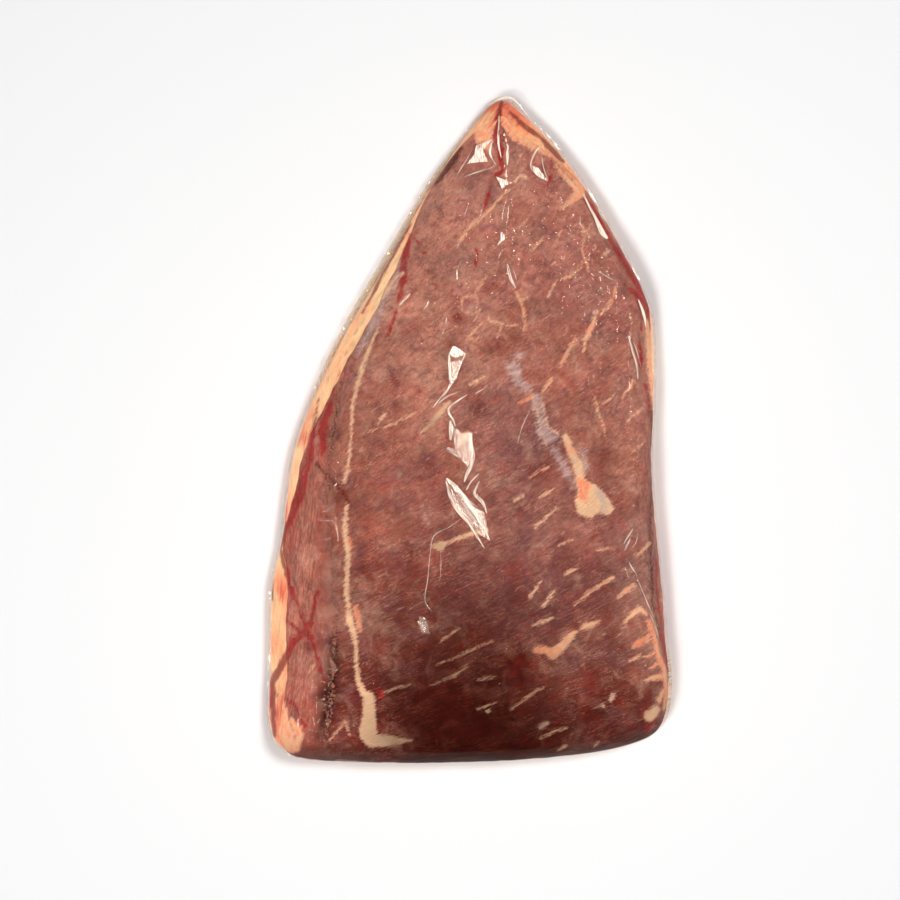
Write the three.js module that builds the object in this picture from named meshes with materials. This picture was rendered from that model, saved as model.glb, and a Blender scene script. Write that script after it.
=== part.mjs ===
// A whole raw picanha, the beef rump cap, shrunk tight in clear vacuum film.
// It lies on its fat cap with the lean side up and the pointed end towards +Y.
// Three solids: the lean muscle, the fat cap that it lies in like a shallow dish, and the
// thin fin of collapsed film that runs round the widest line of the pack.
// Millimetres, +Z up, origin under the middle of the pack on the surface it rests on.

import * as THREE from "three";
import { mergeVertices } from "three/addons/utils/BufferGeometryUtils.js";

// Driving dimensions
const buttThickness = 45; // the wide end
const pointThickness = 27; // the pointed end
const taperFromY = -10; // the muscle starts to thin here
const taperToY = 135; // and is at its thinnest here
const rimHeight = 13; // the widest line of the pack above the board
const underRound = 15; // how far the underside takes to come down flat
const underBluntness = 1.9;
const fatThickness = 10; // fat cap under the middle of the muscle
const fatCurl = 11; // how far the fat cap takes to climb up to its edge
const layerGap = 0.3; // between lean and fat at the side of the pack
const hiddenGap = 1.3; // and between them inside, where their facets run crosswise
const finThickness = 0.6;
const middle = new THREE.Vector2(0, -30);

// How finely the surfaces are cut up
const around = 120;
const leanTopRings = 25;
const seamRings = 8;
const wallRings = 4;
const underRings = 8;
// Above 1, the rings stand closer together near the edge
const topCrowding = 1.35;
const seamCrowding = 1.8;
const underCrowding = 2;

// The outline, clockwise from the point, seen from above. Each station gives where it is, how
// far in the shoulder of the lean reaches, how blunt that shoulder is (1 is a plain slope, 2 a
// quarter round), how high the fat cap climbs up the side there, and how wide the film's fin is.
const stations = [
  { x: 15.7, y: 140.0, shoulder: 16, bluntness: 1.6, fatLine: 24, fin: 1.3 },
  { x: 23.3, y: 133.7, shoulder: 16, bluntness: 1.6, fatLine: 24, fin: 1.0 },
  { x: 36.7, y: 120.3, shoulder: 14, bluntness: 1.6, fatLine: 22, fin: 1.0 },
  { x: 50.5, y: 101.0, shoulder: 12, bluntness: 1.7, fatLine: 18, fin: 0.8 },
  { x: 62.7, y: 80.1, shoulder: 11, bluntness: 1.9, fatLine: 16, fin: 0.8 },
  { x: 73.1, y: 59.9, shoulder: 11, bluntness: 1.9, fatLine: 16, fin: 0.8 },
  { x: 77.8, y: 44.4, shoulder: 13, bluntness: 1.6, fatLine: 22, fin: 0.8 },
  { x: 78.2, y: 13.0, shoulder: 12, bluntness: 1.8, fatLine: 25, fin: 0.8 },
  { x: 76.9, y: -12.2, shoulder: 11, bluntness: 2.0, fatLine: 17, fin: 0.8 },
  { x: 79.4, y: -45.7, shoulder: 12, bluntness: 1.9, fatLine: 20, fin: 0.8 },
  { x: 82.8, y: -80.9, shoulder: 13, bluntness: 1.8, fatLine: 20, fin: 0.8 },
  { x: 84.9, y: -107.7, shoulder: 13, bluntness: 1.9, fatLine: 20, fin: 1.6 },
  { x: 80.7, y: -124.1, shoulder: 13, bluntness: 2.0, fatLine: 20, fin: 1.0 },
  { x: 67.3, y: -131.6, shoulder: 11, bluntness: 2.1, fatLine: 17, fin: 0.8 },
  { x: 37.9, y: -136.6, shoulder: 10, bluntness: 2.2, fatLine: 16, fin: 0.8 },
  { x: -12.4, y: -139.2, shoulder: 10, bluntness: 2.2, fatLine: 16, fin: 0.8 },
  { x: -62.7, y: -138.3, shoulder: 11, bluntness: 2.0, fatLine: 17, fin: 0.8 },
  { x: -79.0, y: -133.7, shoulder: 15, bluntness: 1.6, fatLine: 25, fin: 0.8 },
  { x: -84.9, y: -122.0, shoulder: 23, bluntness: 1.35, fatLine: 30, fin: 0.8 },
  { x: -84.5, y: -96.0, shoulder: 26, bluntness: 1.25, fatLine: 26, fin: 0.8 },
  { x: -84.0, y: -66.6, shoulder: 26, bluntness: 1.25, fatLine: 26, fin: 0.8 },
  { x: -79.9, y: -45.7, shoulder: 24, bluntness: 1.3, fatLine: 17, fin: 0.8 },
  { x: -77.8, y: -28.9, shoulder: 22, bluntness: 1.35, fatLine: 22, fin: 0.8 },
  { x: -72.3, y: -0.4, shoulder: 20, bluntness: 1.35, fatLine: 27, fin: 0.8 },
  { x: -55.1, y: 39.8, shoulder: 18, bluntness: 1.4, fatLine: 30, fin: 1.8 },
  { x: -35.8, y: 73.4, shoulder: 15, bluntness: 1.5, fatLine: 26, fin: 2.2 },
  { x: -16.6, y: 105.2, shoulder: 13, bluntness: 1.6, fatLine: 16, fin: 1.6 },
  { x: -0.6, y: 127.0, shoulder: 13, bluntness: 1.6, fatLine: 19, fin: 0.9 },
  { x: 8.2, y: 137.9, shoulder: 16, bluntness: 1.6, fatLine: 24, fin: 1.2 },
];

// Relief on the lean side: each fold or swelling follows a path, stands up (or is pressed in,
// where rise is negative) by rise in its middle, and fades out over spread to either side.
const relief = [
  // the furrow between the flat face of the muscle and its sloping left flank
  {
    rise: -2.6,
    spread: 3.2,
    path: [
      [-52, 22],
      [-57, -4],
      [-59, -37],
      [-58, -75],
      [-59, -100],
      [-61, -124],
    ],
  },
  // the deep crease where the film is drawn in over the fat on the upper left
  {
    rise: -2.0,
    spread: 2.6,
    path: [
      [-16, 86],
      [-22, 66],
      [-29, 48],
      [-37, 30],
    ],
  },
  // the pleats that cross on the lower left flank
  {
    rise: 1.3,
    spread: 2.4,
    path: [
      [-81, -112],
      [-72, -92],
      [-60, -72],
    ],
  },
  {
    rise: 1.0,
    spread: 2.4,
    path: [
      [-80, -58],
      [-71, -80],
      [-62, -104],
    ],
  },
  // the upright pleat down from the point, and the chain of puckers below it
  {
    rise: 1.6,
    spread: 2.8,
    path: [
      [15, 128],
      [15, 108],
      [9, 92],
      [3, 74],
    ],
  },
  {
    rise: -1.2,
    spread: 4.5,
    path: [
      [0, 60],
      [-5, 34],
      [-9, 12],
      [-2, -12],
      [7, -40],
    ],
  },
  // the dent over the strip of gristle on the right
  {
    rise: -1.0,
    spread: 5,
    path: [
      [24, 28],
      [38, 3],
      [50, -24],
    ],
  },
  // the swelling of the thick end and of the right half
  {
    rise: 2.2,
    spread: 26,
    path: [
      [-8, -88],
      [34, -74],
    ],
  },
  {
    rise: 1.6,
    spread: 20,
    path: [
      [36, 46],
      [46, 10],
    ],
  },
];

const smooth = (u) => u * u * (3 - 2 * u);
const clamp01 = (u) => Math.min(1, Math.max(0, u));

// A closed curve through the stations. Its third coordinate is a property of the station, so
// that the property is carried smoothly along the outline.
function closedCurve(property) {
  const points = stations.map((s) => new THREE.Vector3(s.x, s.y, s[property]));
  return new THREE.CatmullRomCurve3(points, true, "catmullrom", 0.5);
}

const outline = closedCurve("fin");
const properties = ["shoulder", "bluntness", "fatLine", "fin"];
const propertyCurves = properties.map((name) => [name, closedCurve(name)]);

// Everything known about one place on the outline; along runs from 0 to 1 round it.
function stationAt(along) {
  const t = outline.getUtoTmapping(((along % 1) + 1) % 1);
  const edge = outline.getPoint(t);
  const station = { edge: new THREE.Vector2(edge.x, edge.y) };
  for (const [name, curve] of propertyCurves) station[name] = curve.getPoint(t).z;
  const step = 1e-4;
  const ahead = outline.getPoint((t + step) % 1);
  const behind = outline.getPoint((t - step + 1) % 1);
  station.outward = new THREE.Vector2(behind.y - ahead.y, ahead.x - behind.x).normalize();
  station.rim = station.edge.clone().addScaledVector(station.outward, -(station.fin + layerGap));
  station.reach = station.rim.clone().sub(middle).dot(station.outward);
  return station;
}

// Stations are looked up often, so each one that the surfaces need is worked out once.
const stationTable = Array.from({ length: around }, (_, i) => stationAt(i / around));
const nearestStation = (along) => stationTable[Math.round(along * around) % around];

function distanceToPath(x, y, path) {
  const place = new THREE.Vector3(x, y, 0);
  const nearest = new THREE.Vector3();
  let least = Infinity;
  for (let i = 1; i < path.length; i += 1) {
    const from = new THREE.Vector3(...path[i - 1], 0);
    const to = new THREE.Vector3(...path[i], 0);
    new THREE.Line3(from, to).closestPointToPoint(place, true, nearest);
    least = Math.min(least, nearest.distanceTo(place));
  }
  return least;
}

const reliefAt = (x, y) =>
  relief.reduce(
    (sum, fold) => sum + fold.rise * Math.exp(-((distanceToPath(x, y, fold.path) / fold.spread) ** 2)),
    0,
  );

const thicknessAt = (y) =>
  THREE.MathUtils.lerp(
    buttThickness,
    pointThickness,
    smooth(clamp01((y - taperFromY) / (taperToY - taperFromY))),
  );

// From 0 at the edge to 1 where the shoulder ends
const shoulderCurve = (u, bluntness) =>
  u >= 1 ? 1 : (1 - (1 - Math.max(u, 0)) ** bluntness) ** (1 / bluntness);
const shoulderInverse = (rise, bluntness) => 1 - (1 - rise ** bluntness) ** (1 / bluntness);

// share is 0 in the middle of the pack and 1 at the rim
const planAt = (station, share) => middle.clone().lerp(station.rim, share);

function topHeight(station, share) {
  const place = planAt(station, share);
  const inFromEdge = (1 - share) * station.reach;
  const lift = shoulderCurve(inFromEdge / station.shoulder, station.bluntness);
  const body = thicknessAt(place.y) - rimHeight;
  return rimHeight + body * lift + reliefAt(place.x, place.y) * lift;
}

function underHeight(station, share) {
  const inFromEdge = (1 - share) * station.reach;
  return rimHeight * (1 - shoulderCurve(inFromEdge / underRound, underBluntness));
}

// Where the fat cap's upper edge meets the side of the pack
function fatEdgeShare(station) {
  const body = thicknessAt(station.rim.y) - rimHeight;
  const inFromEdge =
    station.shoulder * shoulderInverse((station.fatLine - rimHeight) / body, station.bluntness);
  return 1 - inFromEdge / station.reach;
}

// The face where fat and lean meet: high at its edge, then down to the fat's plain thickness
function seamHeight(station, share) {
  const edge = fatEdgeShare(station);
  const edgeHeight = topHeight(station, edge);
  const inFromSeamEdge = Math.max(0, (edge - share) * station.reach);
  const fade = Math.exp(-((inFromSeamEdge / fatCurl) ** 2));
  return fatThickness + (edgeHeight - fatThickness) * fade;
}

const crowded = (u, crowding) => 1 - (1 - u) ** crowding;

// A sphere whose vertices are moved to place(station, ring), which closes on itself at both poles
function closedSkin(rings, place) {
  const geometry = new THREE.SphereGeometry(1, around, rings);
  const position = geometry.getAttribute("position");
  for (let ring = 0, i = 0; ring <= rings; ring += 1)
    for (let column = 0; column <= around; column += 1, i += 1) {
      const station = nearestStation(1 - column / around);
      const { share, height } = place(station, ring);
      const plan = planAt(station, share);
      position.setXYZ(i, plan.x, plan.y, height);
    }
  geometry.deleteAttribute("normal");
  geometry.deleteAttribute("uv");
  const merged = mergeVertices(geometry, 1e-4);
  merged.computeVertexNormals();
  return merged;
}

// The rings of both faces that meet in the seam stand at the same places, so that the faces keep
// their gap. The lean's edge itself is drawn in a little from the fat's.
function leanGeometry() {
  const rings = leanTopRings + seamRings;
  return closedSkin(rings, (station, ring) => {
    const fatEdge = fatEdgeShare(station);
    const edge = fatEdge - layerGap / station.reach;
    if (ring <= leanTopRings) {
      const share = edge * crowded(ring / leanTopRings, topCrowding);
      return { share, height: topHeight(station, share) };
    }
    const share = fatEdge * crowded((rings - ring) / seamRings, seamCrowding);
    return { share, height: seamHeight(station, share) + hiddenGap };
  });
}

function fatGeometry() {
  const rings = seamRings + wallRings + underRings;
  return closedSkin(rings, (station, ring) => {
    const edge = fatEdgeShare(station);
    if (ring <= seamRings) {
      const share = edge * crowded(ring / seamRings, seamCrowding);
      return { share, height: seamHeight(station, share) };
    }
    if (ring <= seamRings + wallRings) {
      const share = THREE.MathUtils.lerp(edge, 1, smooth((ring - seamRings) / wallRings));
      return { share, height: topHeight(station, share) };
    }
    const share = crowded((rings - ring) / underRings, underCrowding);
    return { share, height: underHeight(station, share) };
  });
}

// The fin is a flat band swept round the rim, one rectangle at each station
function finGeometry() {
  const corners = [
    [0, -1],
    [1, -1],
    [1, 1],
    [0, 1],
  ];
  const geometry = new THREE.TorusGeometry(1, 0.5, corners.length, around);
  const position = geometry.getAttribute("position");
  for (let corner = 0, i = 0; corner <= corners.length; corner += 1)
    for (let column = 0; column <= around; column += 1, i += 1) {
      const station = nearestStation(1 - column / around);
      const [out, up] = corners[corner % corners.length];
      const offset = -station.fin * (1 - out);
      const plan = station.edge.clone().addScaledVector(station.outward, offset);
      position.setXYZ(i, plan.x, plan.y, rimHeight + (up * finThickness) / 2);
    }
  geometry.deleteAttribute("normal");
  geometry.deleteAttribute("uv");
  const merged = mergeVertices(geometry, 1e-4);
  merged.computeVertexNormals();
  return merged;
}

function namedMesh(name, geometry, colour, roughness) {
  const material = new THREE.MeshStandardMaterial({ color: colour, roughness, metalness: 0 });
  const mesh = new THREE.Mesh(geometry, material);
  mesh.name = name;
  return mesh;
}

const picanha = new THREE.Group();
picanha.add(namedMesh("lean_muscle", leanGeometry(), 0x8f4f43, 0.35));
picanha.add(namedMesh("fat_cap", fatGeometry(), 0xf0b988, 0.4));
picanha.add(namedMesh("film_fin", finGeometry(), 0xd8d4c8, 0.2));

// The frame's origin is under the middle of the whole pack
const size = new THREE.Box3().setFromObject(picanha);
const centre = size.getCenter(new THREE.Vector3());
picanha.position.set(-centre.x, -centre.y, -size.min.z);

export default picanha;
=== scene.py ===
# A raw picanha, the beef rump cap, lying lean side up and shrunk tight in clear vacuum film.
# Lengths are millimetres until a mesh is written, which is in metres.

from functools import cached_property
from math import pi, radians

import bmesh
import bpy
import numpy as np
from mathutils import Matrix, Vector


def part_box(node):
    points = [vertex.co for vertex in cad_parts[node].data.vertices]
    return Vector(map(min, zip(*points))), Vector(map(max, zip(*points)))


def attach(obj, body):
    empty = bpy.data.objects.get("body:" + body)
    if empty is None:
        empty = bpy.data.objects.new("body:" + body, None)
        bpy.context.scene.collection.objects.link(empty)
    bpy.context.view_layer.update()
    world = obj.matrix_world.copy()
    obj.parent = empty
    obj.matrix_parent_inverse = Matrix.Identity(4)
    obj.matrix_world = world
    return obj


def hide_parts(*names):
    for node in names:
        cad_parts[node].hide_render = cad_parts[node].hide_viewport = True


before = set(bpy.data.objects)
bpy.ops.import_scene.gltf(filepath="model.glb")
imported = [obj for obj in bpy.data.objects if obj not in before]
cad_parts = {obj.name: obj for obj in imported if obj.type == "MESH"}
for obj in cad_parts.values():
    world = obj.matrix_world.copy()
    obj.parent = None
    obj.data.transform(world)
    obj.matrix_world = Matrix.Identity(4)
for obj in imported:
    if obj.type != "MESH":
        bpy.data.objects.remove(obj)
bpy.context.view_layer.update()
mm = 0.001


def hexToLinear(code):
    srgb = [int(code[i:i + 2], 16) / 255 for i in (1, 3, 5)]
    return (*[c / 12.92 if c <= 0.04045 else ((c + 0.055) / 1.055) ** 2.4 for c in srgb], 1.0)


def smoothStep(low, high, value):
    t = np.clip((value - low) / (high - low), 0, 1)
    return t * t * (3 - 2 * t)


# smooth random field from -1 to 1 whose swellings are about one cell wide
def softNoise(points, cell, seed):
    table = np.random.default_rng(seed).uniform(-1, 1, (32, 32, 32))
    place = points / np.asarray(cell)
    base = np.floor(place).astype(int)
    part = place - base
    part = part * part * (3 - 2 * part)
    total = np.zeros(len(points))
    for corner in np.ndindex(2, 2, 2):
        weight = np.prod(np.where(corner, part, 1 - part), axis=1)
        i, j, k = ((base + corner) % 32).T
        total += weight * table[i, j, k]
    return total


# the form of the pack: the same stations, thicknesses and folds as the solids
packForm = {
    "buttThickness": 45, "pointThickness": 27, "taperFromY": -10, "taperToY": 135,
    "rimHeight": 13, "underRound": 15, "underBluntness": 1.9, "fatThickness": 10,
    "layerGap": 0.3, "middle": (0, -30),
    # x, y, shoulder, bluntness, fat line, fin, clockwise from the point
    "stations": [
        (15.7, 140.0, 16, 1.6, 24, 1.3),
        (23.3, 133.7, 16, 1.6, 24, 1.0),
        (36.7, 120.3, 14, 1.6, 22, 1.0),
        (50.5, 101.0, 12, 1.7, 18, 0.8),
        (62.7, 80.1, 11, 1.9, 16, 0.8),
        (73.1, 59.9, 11, 1.9, 16, 0.8),
        (77.8, 44.4, 13, 1.6, 22, 0.8),
        (78.2, 13.0, 12, 1.8, 25, 0.8),
        (76.9, -12.2, 11, 2.0, 17, 0.8),
        (79.4, -45.7, 12, 1.9, 20, 0.8),
        (82.8, -80.9, 13, 1.8, 20, 0.8),
        (84.9, -107.7, 13, 1.9, 20, 1.6),
        (80.7, -124.1, 13, 2.0, 20, 1.0),
        (67.3, -131.6, 11, 2.1, 17, 0.8),
        (37.9, -136.6, 10, 2.2, 16, 0.8),
        (-12.4, -139.2, 10, 2.2, 16, 0.8),
        (-62.7, -138.3, 11, 2.0, 17, 0.8),
        (-79.0, -133.7, 15, 1.6, 25, 0.8),
        (-84.9, -122.0, 23, 1.35, 30, 0.8),
        (-84.5, -96.0, 26, 1.25, 26, 0.8),
        (-84.0, -66.6, 26, 1.25, 26, 0.8),
        (-79.9, -45.7, 24, 1.3, 17, 0.8),
        (-77.8, -28.9, 22, 1.35, 22, 0.8),
        (-72.3, -0.4, 20, 1.35, 27, 0.8),
        (-55.1, 39.8, 18, 1.4, 30, 1.8),
        (-35.8, 73.4, 15, 1.5, 26, 2.2),
        (-16.6, 105.2, 13, 1.6, 16, 1.6),
        (-0.6, 127.0, 13, 1.6, 19, 0.9),
        (8.2, 137.9, 16, 1.6, 24, 1.2),
    ],
    # rise of the meat, rise of the film, spread, path
    "relief": [
        (-2.2, -0.2, 3.0, [(-52, 22), (-57, -4), (-59, -37), (-58, -75), (-59, -100), (-61, -124)]),
        (-1.6, -0.3, 2.2, [(-16, 86), (-22, 66), (-29, 48), (-37, 30)]),
        (0.5, 0.6, 2.0, [(-81, -112), (-72, -92), (-60, -72)]),
        (0.4, 0.5, 2.0, [(-80, -58), (-71, -80), (-62, -104)]),
        (0.2, 0.15, 2.0, [(15, 128), (15, 108), (9, 92), (3, 74)]),
        (-0.8, -0.3, 4.5, [(0, 60), (-5, 34), (-9, 12), (-2, -12), (7, -40)]),
        (-0.8, -0.4, 5, [(24, 28), (38, 3), (50, -24)]),
        (2.2, 2.0, 26, [(-8, -88), (34, -74)]),
        (1.6, 1.6, 20, [(36, 46), (46, 10)]),
    ],
}
middle = np.array(packForm["middle"], float)
rimHeight = packForm["rimHeight"]


# a closed smooth curve through points, with stepsEach places on each span
def closedCurve(points, stepsEach):
    t = np.linspace(0, 1, stepsEach, endpoint=False)[:, None]
    spans = []
    for i in range(len(points)):
        before, start, end, after = (points[(i + k) % len(points)] for k in (-1, 0, 1, 2))
        leave, arrive = (end - before) / 2, (after - start) / 2
        spans.append(start + leave * t + (3 * (end - start) - 2 * leave - arrive) * t ** 2
                     + (2 * (start - end) + leave + arrive) * t ** 3)
    return np.vstack(spans)


def makeRim():
    curve = closedCurve(np.array(packForm["stations"], float), 120)
    rim = dict(zip(("shoulder", "bluntness", "fatLine", "fin"), curve[:, 2:].T))
    edge = curve[:, :2]
    steps = np.linalg.norm(np.roll(edge, -1, 0) - edge, axis=1)
    rim["along"] = np.concatenate([[0], np.cumsum(steps)[:-1]]) / steps.sum()
    ahead = np.roll(edge, -1, 0) - np.roll(edge, 1, 0)
    outward = np.stack([-ahead[:, 1], ahead[:, 0]], 1)
    outward /= np.linalg.norm(outward, axis=1)[:, None]
    finBox = np.array(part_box("film_fin"))[:, :2] / mm
    shift = finBox.mean(0) - (edge.min(0) + edge.max(0)) / 2
    rim["edge"], rim["outward"] = edge, outward
    rim["wall"] = edge - outward * (rim["fin"] + packForm["layerGap"])[:, None]
    rim["reach"] = ((rim["wall"] - middle) * outward).sum(1)
    spoke = rim["wall"] - middle
    rim["angle"] = np.arctan2(spoke[:, 1], spoke[:, 0])
    rim["radius"] = np.linalg.norm(spoke, axis=1)
    return rim, shift


rim, boxShift = makeRim()  # boxShift is how far the frame's origin lies from the stations' own


def onRim(name, along):
    values = rim[name]
    if values.ndim == 1:
        return np.interp(along % 1, rim["along"], values, period=1)
    return np.stack([np.interp(along % 1, rim["along"], v, period=1) for v in values.T], 1)


# distance from each place to a path, less the path's half-width where it has one
def pathDistance(places, path):
    path = np.array(path, float)
    if len(path) == 1:
        path = np.vstack([path, path + 1e-6])
    if path.shape[1] == 2:
        path = np.hstack([path, np.zeros((len(path), 1))])
    least = np.full(len(places), 1e9)
    for start, end in zip(path[:-1], path[1:]):
        line = end[:2] - start[:2]
        part = np.clip((places - start[:2]) @ line / max(line @ line, 1e-9), 0, 1)
        gap = np.linalg.norm(places - (start[:2] + part[:, None] * line), axis=1)
        least = np.minimum(least, gap - (start[2] + part * (end[2] - start[2])))
    return least


def lift(share, bluntness):
    return (1 - (1 - np.clip(share, 0, 1)) ** bluntness) ** (1 / bluntness)


def thicknessAt(y):
    taper = smoothStep(packForm["taperFromY"], packForm["taperToY"], y)
    return packForm["buttThickness"] * (1 - taper) + packForm["pointThickness"] * taper


def reliefAt(places, onFilm=False):
    return sum((filmRise if onFilm else rise) * np.exp(-(pathDistance(places, path) / spread) ** 2)
               for rise, filmRise, spread, path in packForm["relief"])


# how far in from the wall each place is, and the station it belongs to
def lookUp(places):
    spoke = places - middle
    angle = np.arctan2(spoke[:, 1], spoke[:, 0])
    order = np.argsort(rim["angle"])
    angles, alongs = rim["angle"][order], np.unwrap(rim["along"][order], period=1)
    turn = np.sign(alongs[-1] - alongs[0])
    angles = np.concatenate([[angles[-1] - 2 * pi], angles, [angles[0] + 2 * pi]])
    alongs = np.concatenate([[alongs[-1] - turn], alongs, [alongs[0] + turn]])
    along = np.interp(angle, angles, alongs)
    share = np.linalg.norm(spoke, axis=1) / onRim("radius", along)
    return along % 1, (1 - share) * onRim("reach", along)


def topHeight(places, onFilm=False):
    along, inFrom = lookUp(places)
    rising = lift(inFrom / onRim("shoulder", along), onRim("bluntness", along))
    return rimHeight + (thicknessAt(places[:, 1]) - rimHeight + reliefAt(places, onFilm)) * rising


# places at a distance in from the wall, seen from above
def inFromWall(along, distance):
    share = 1 - distance / onRim("reach", along)
    return middle + (onRim("wall", along) - middle) * share[:, None]


# how far in from the wall the fat cap's upper edge lies
def fatReach(along):
    body = thicknessAt(onRim("wall", along)[:, 1]) - rimHeight
    rise = ((onRim("fatLine", along) - rimHeight) / body) ** onRim("bluntness", along)
    return onRim("shoulder", along) * (1 - (1 - rise) ** (1 / onRim("bluntness", along)))


# the photograph's view of it
photo = {
    "size": 900, "pixel": 0.4192,  # millimetres that a pixel covers at the height of the rim
    "lookAt": (-8.17, -7.96), "cameraHeight": 1200,
}


# where a pixel of the photograph lies on the pack
def onPack(pixels):
    pixels = np.asarray(pixels, float)
    lookAt = np.array(photo["lookAt"])
    ground = lookAt + (pixels[:, :2] - photo["size"] / 2) * photo["pixel"] * (1, -1)
    height = topHeight(ground)
    for _ in range(8):
        there = ground + (lookAt - ground) * ((height - rimHeight) / photo["cameraHeight"])[:, None]
        height = (height + topHeight(there)) / 2
    return there


def pathOnPack(path):
    path = np.array(path, float)
    places = onPack(path)
    if path.shape[1] > 2:
        return np.hstack([places, path[:, 2:3] * photo["pixel"]])
    return places


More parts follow.
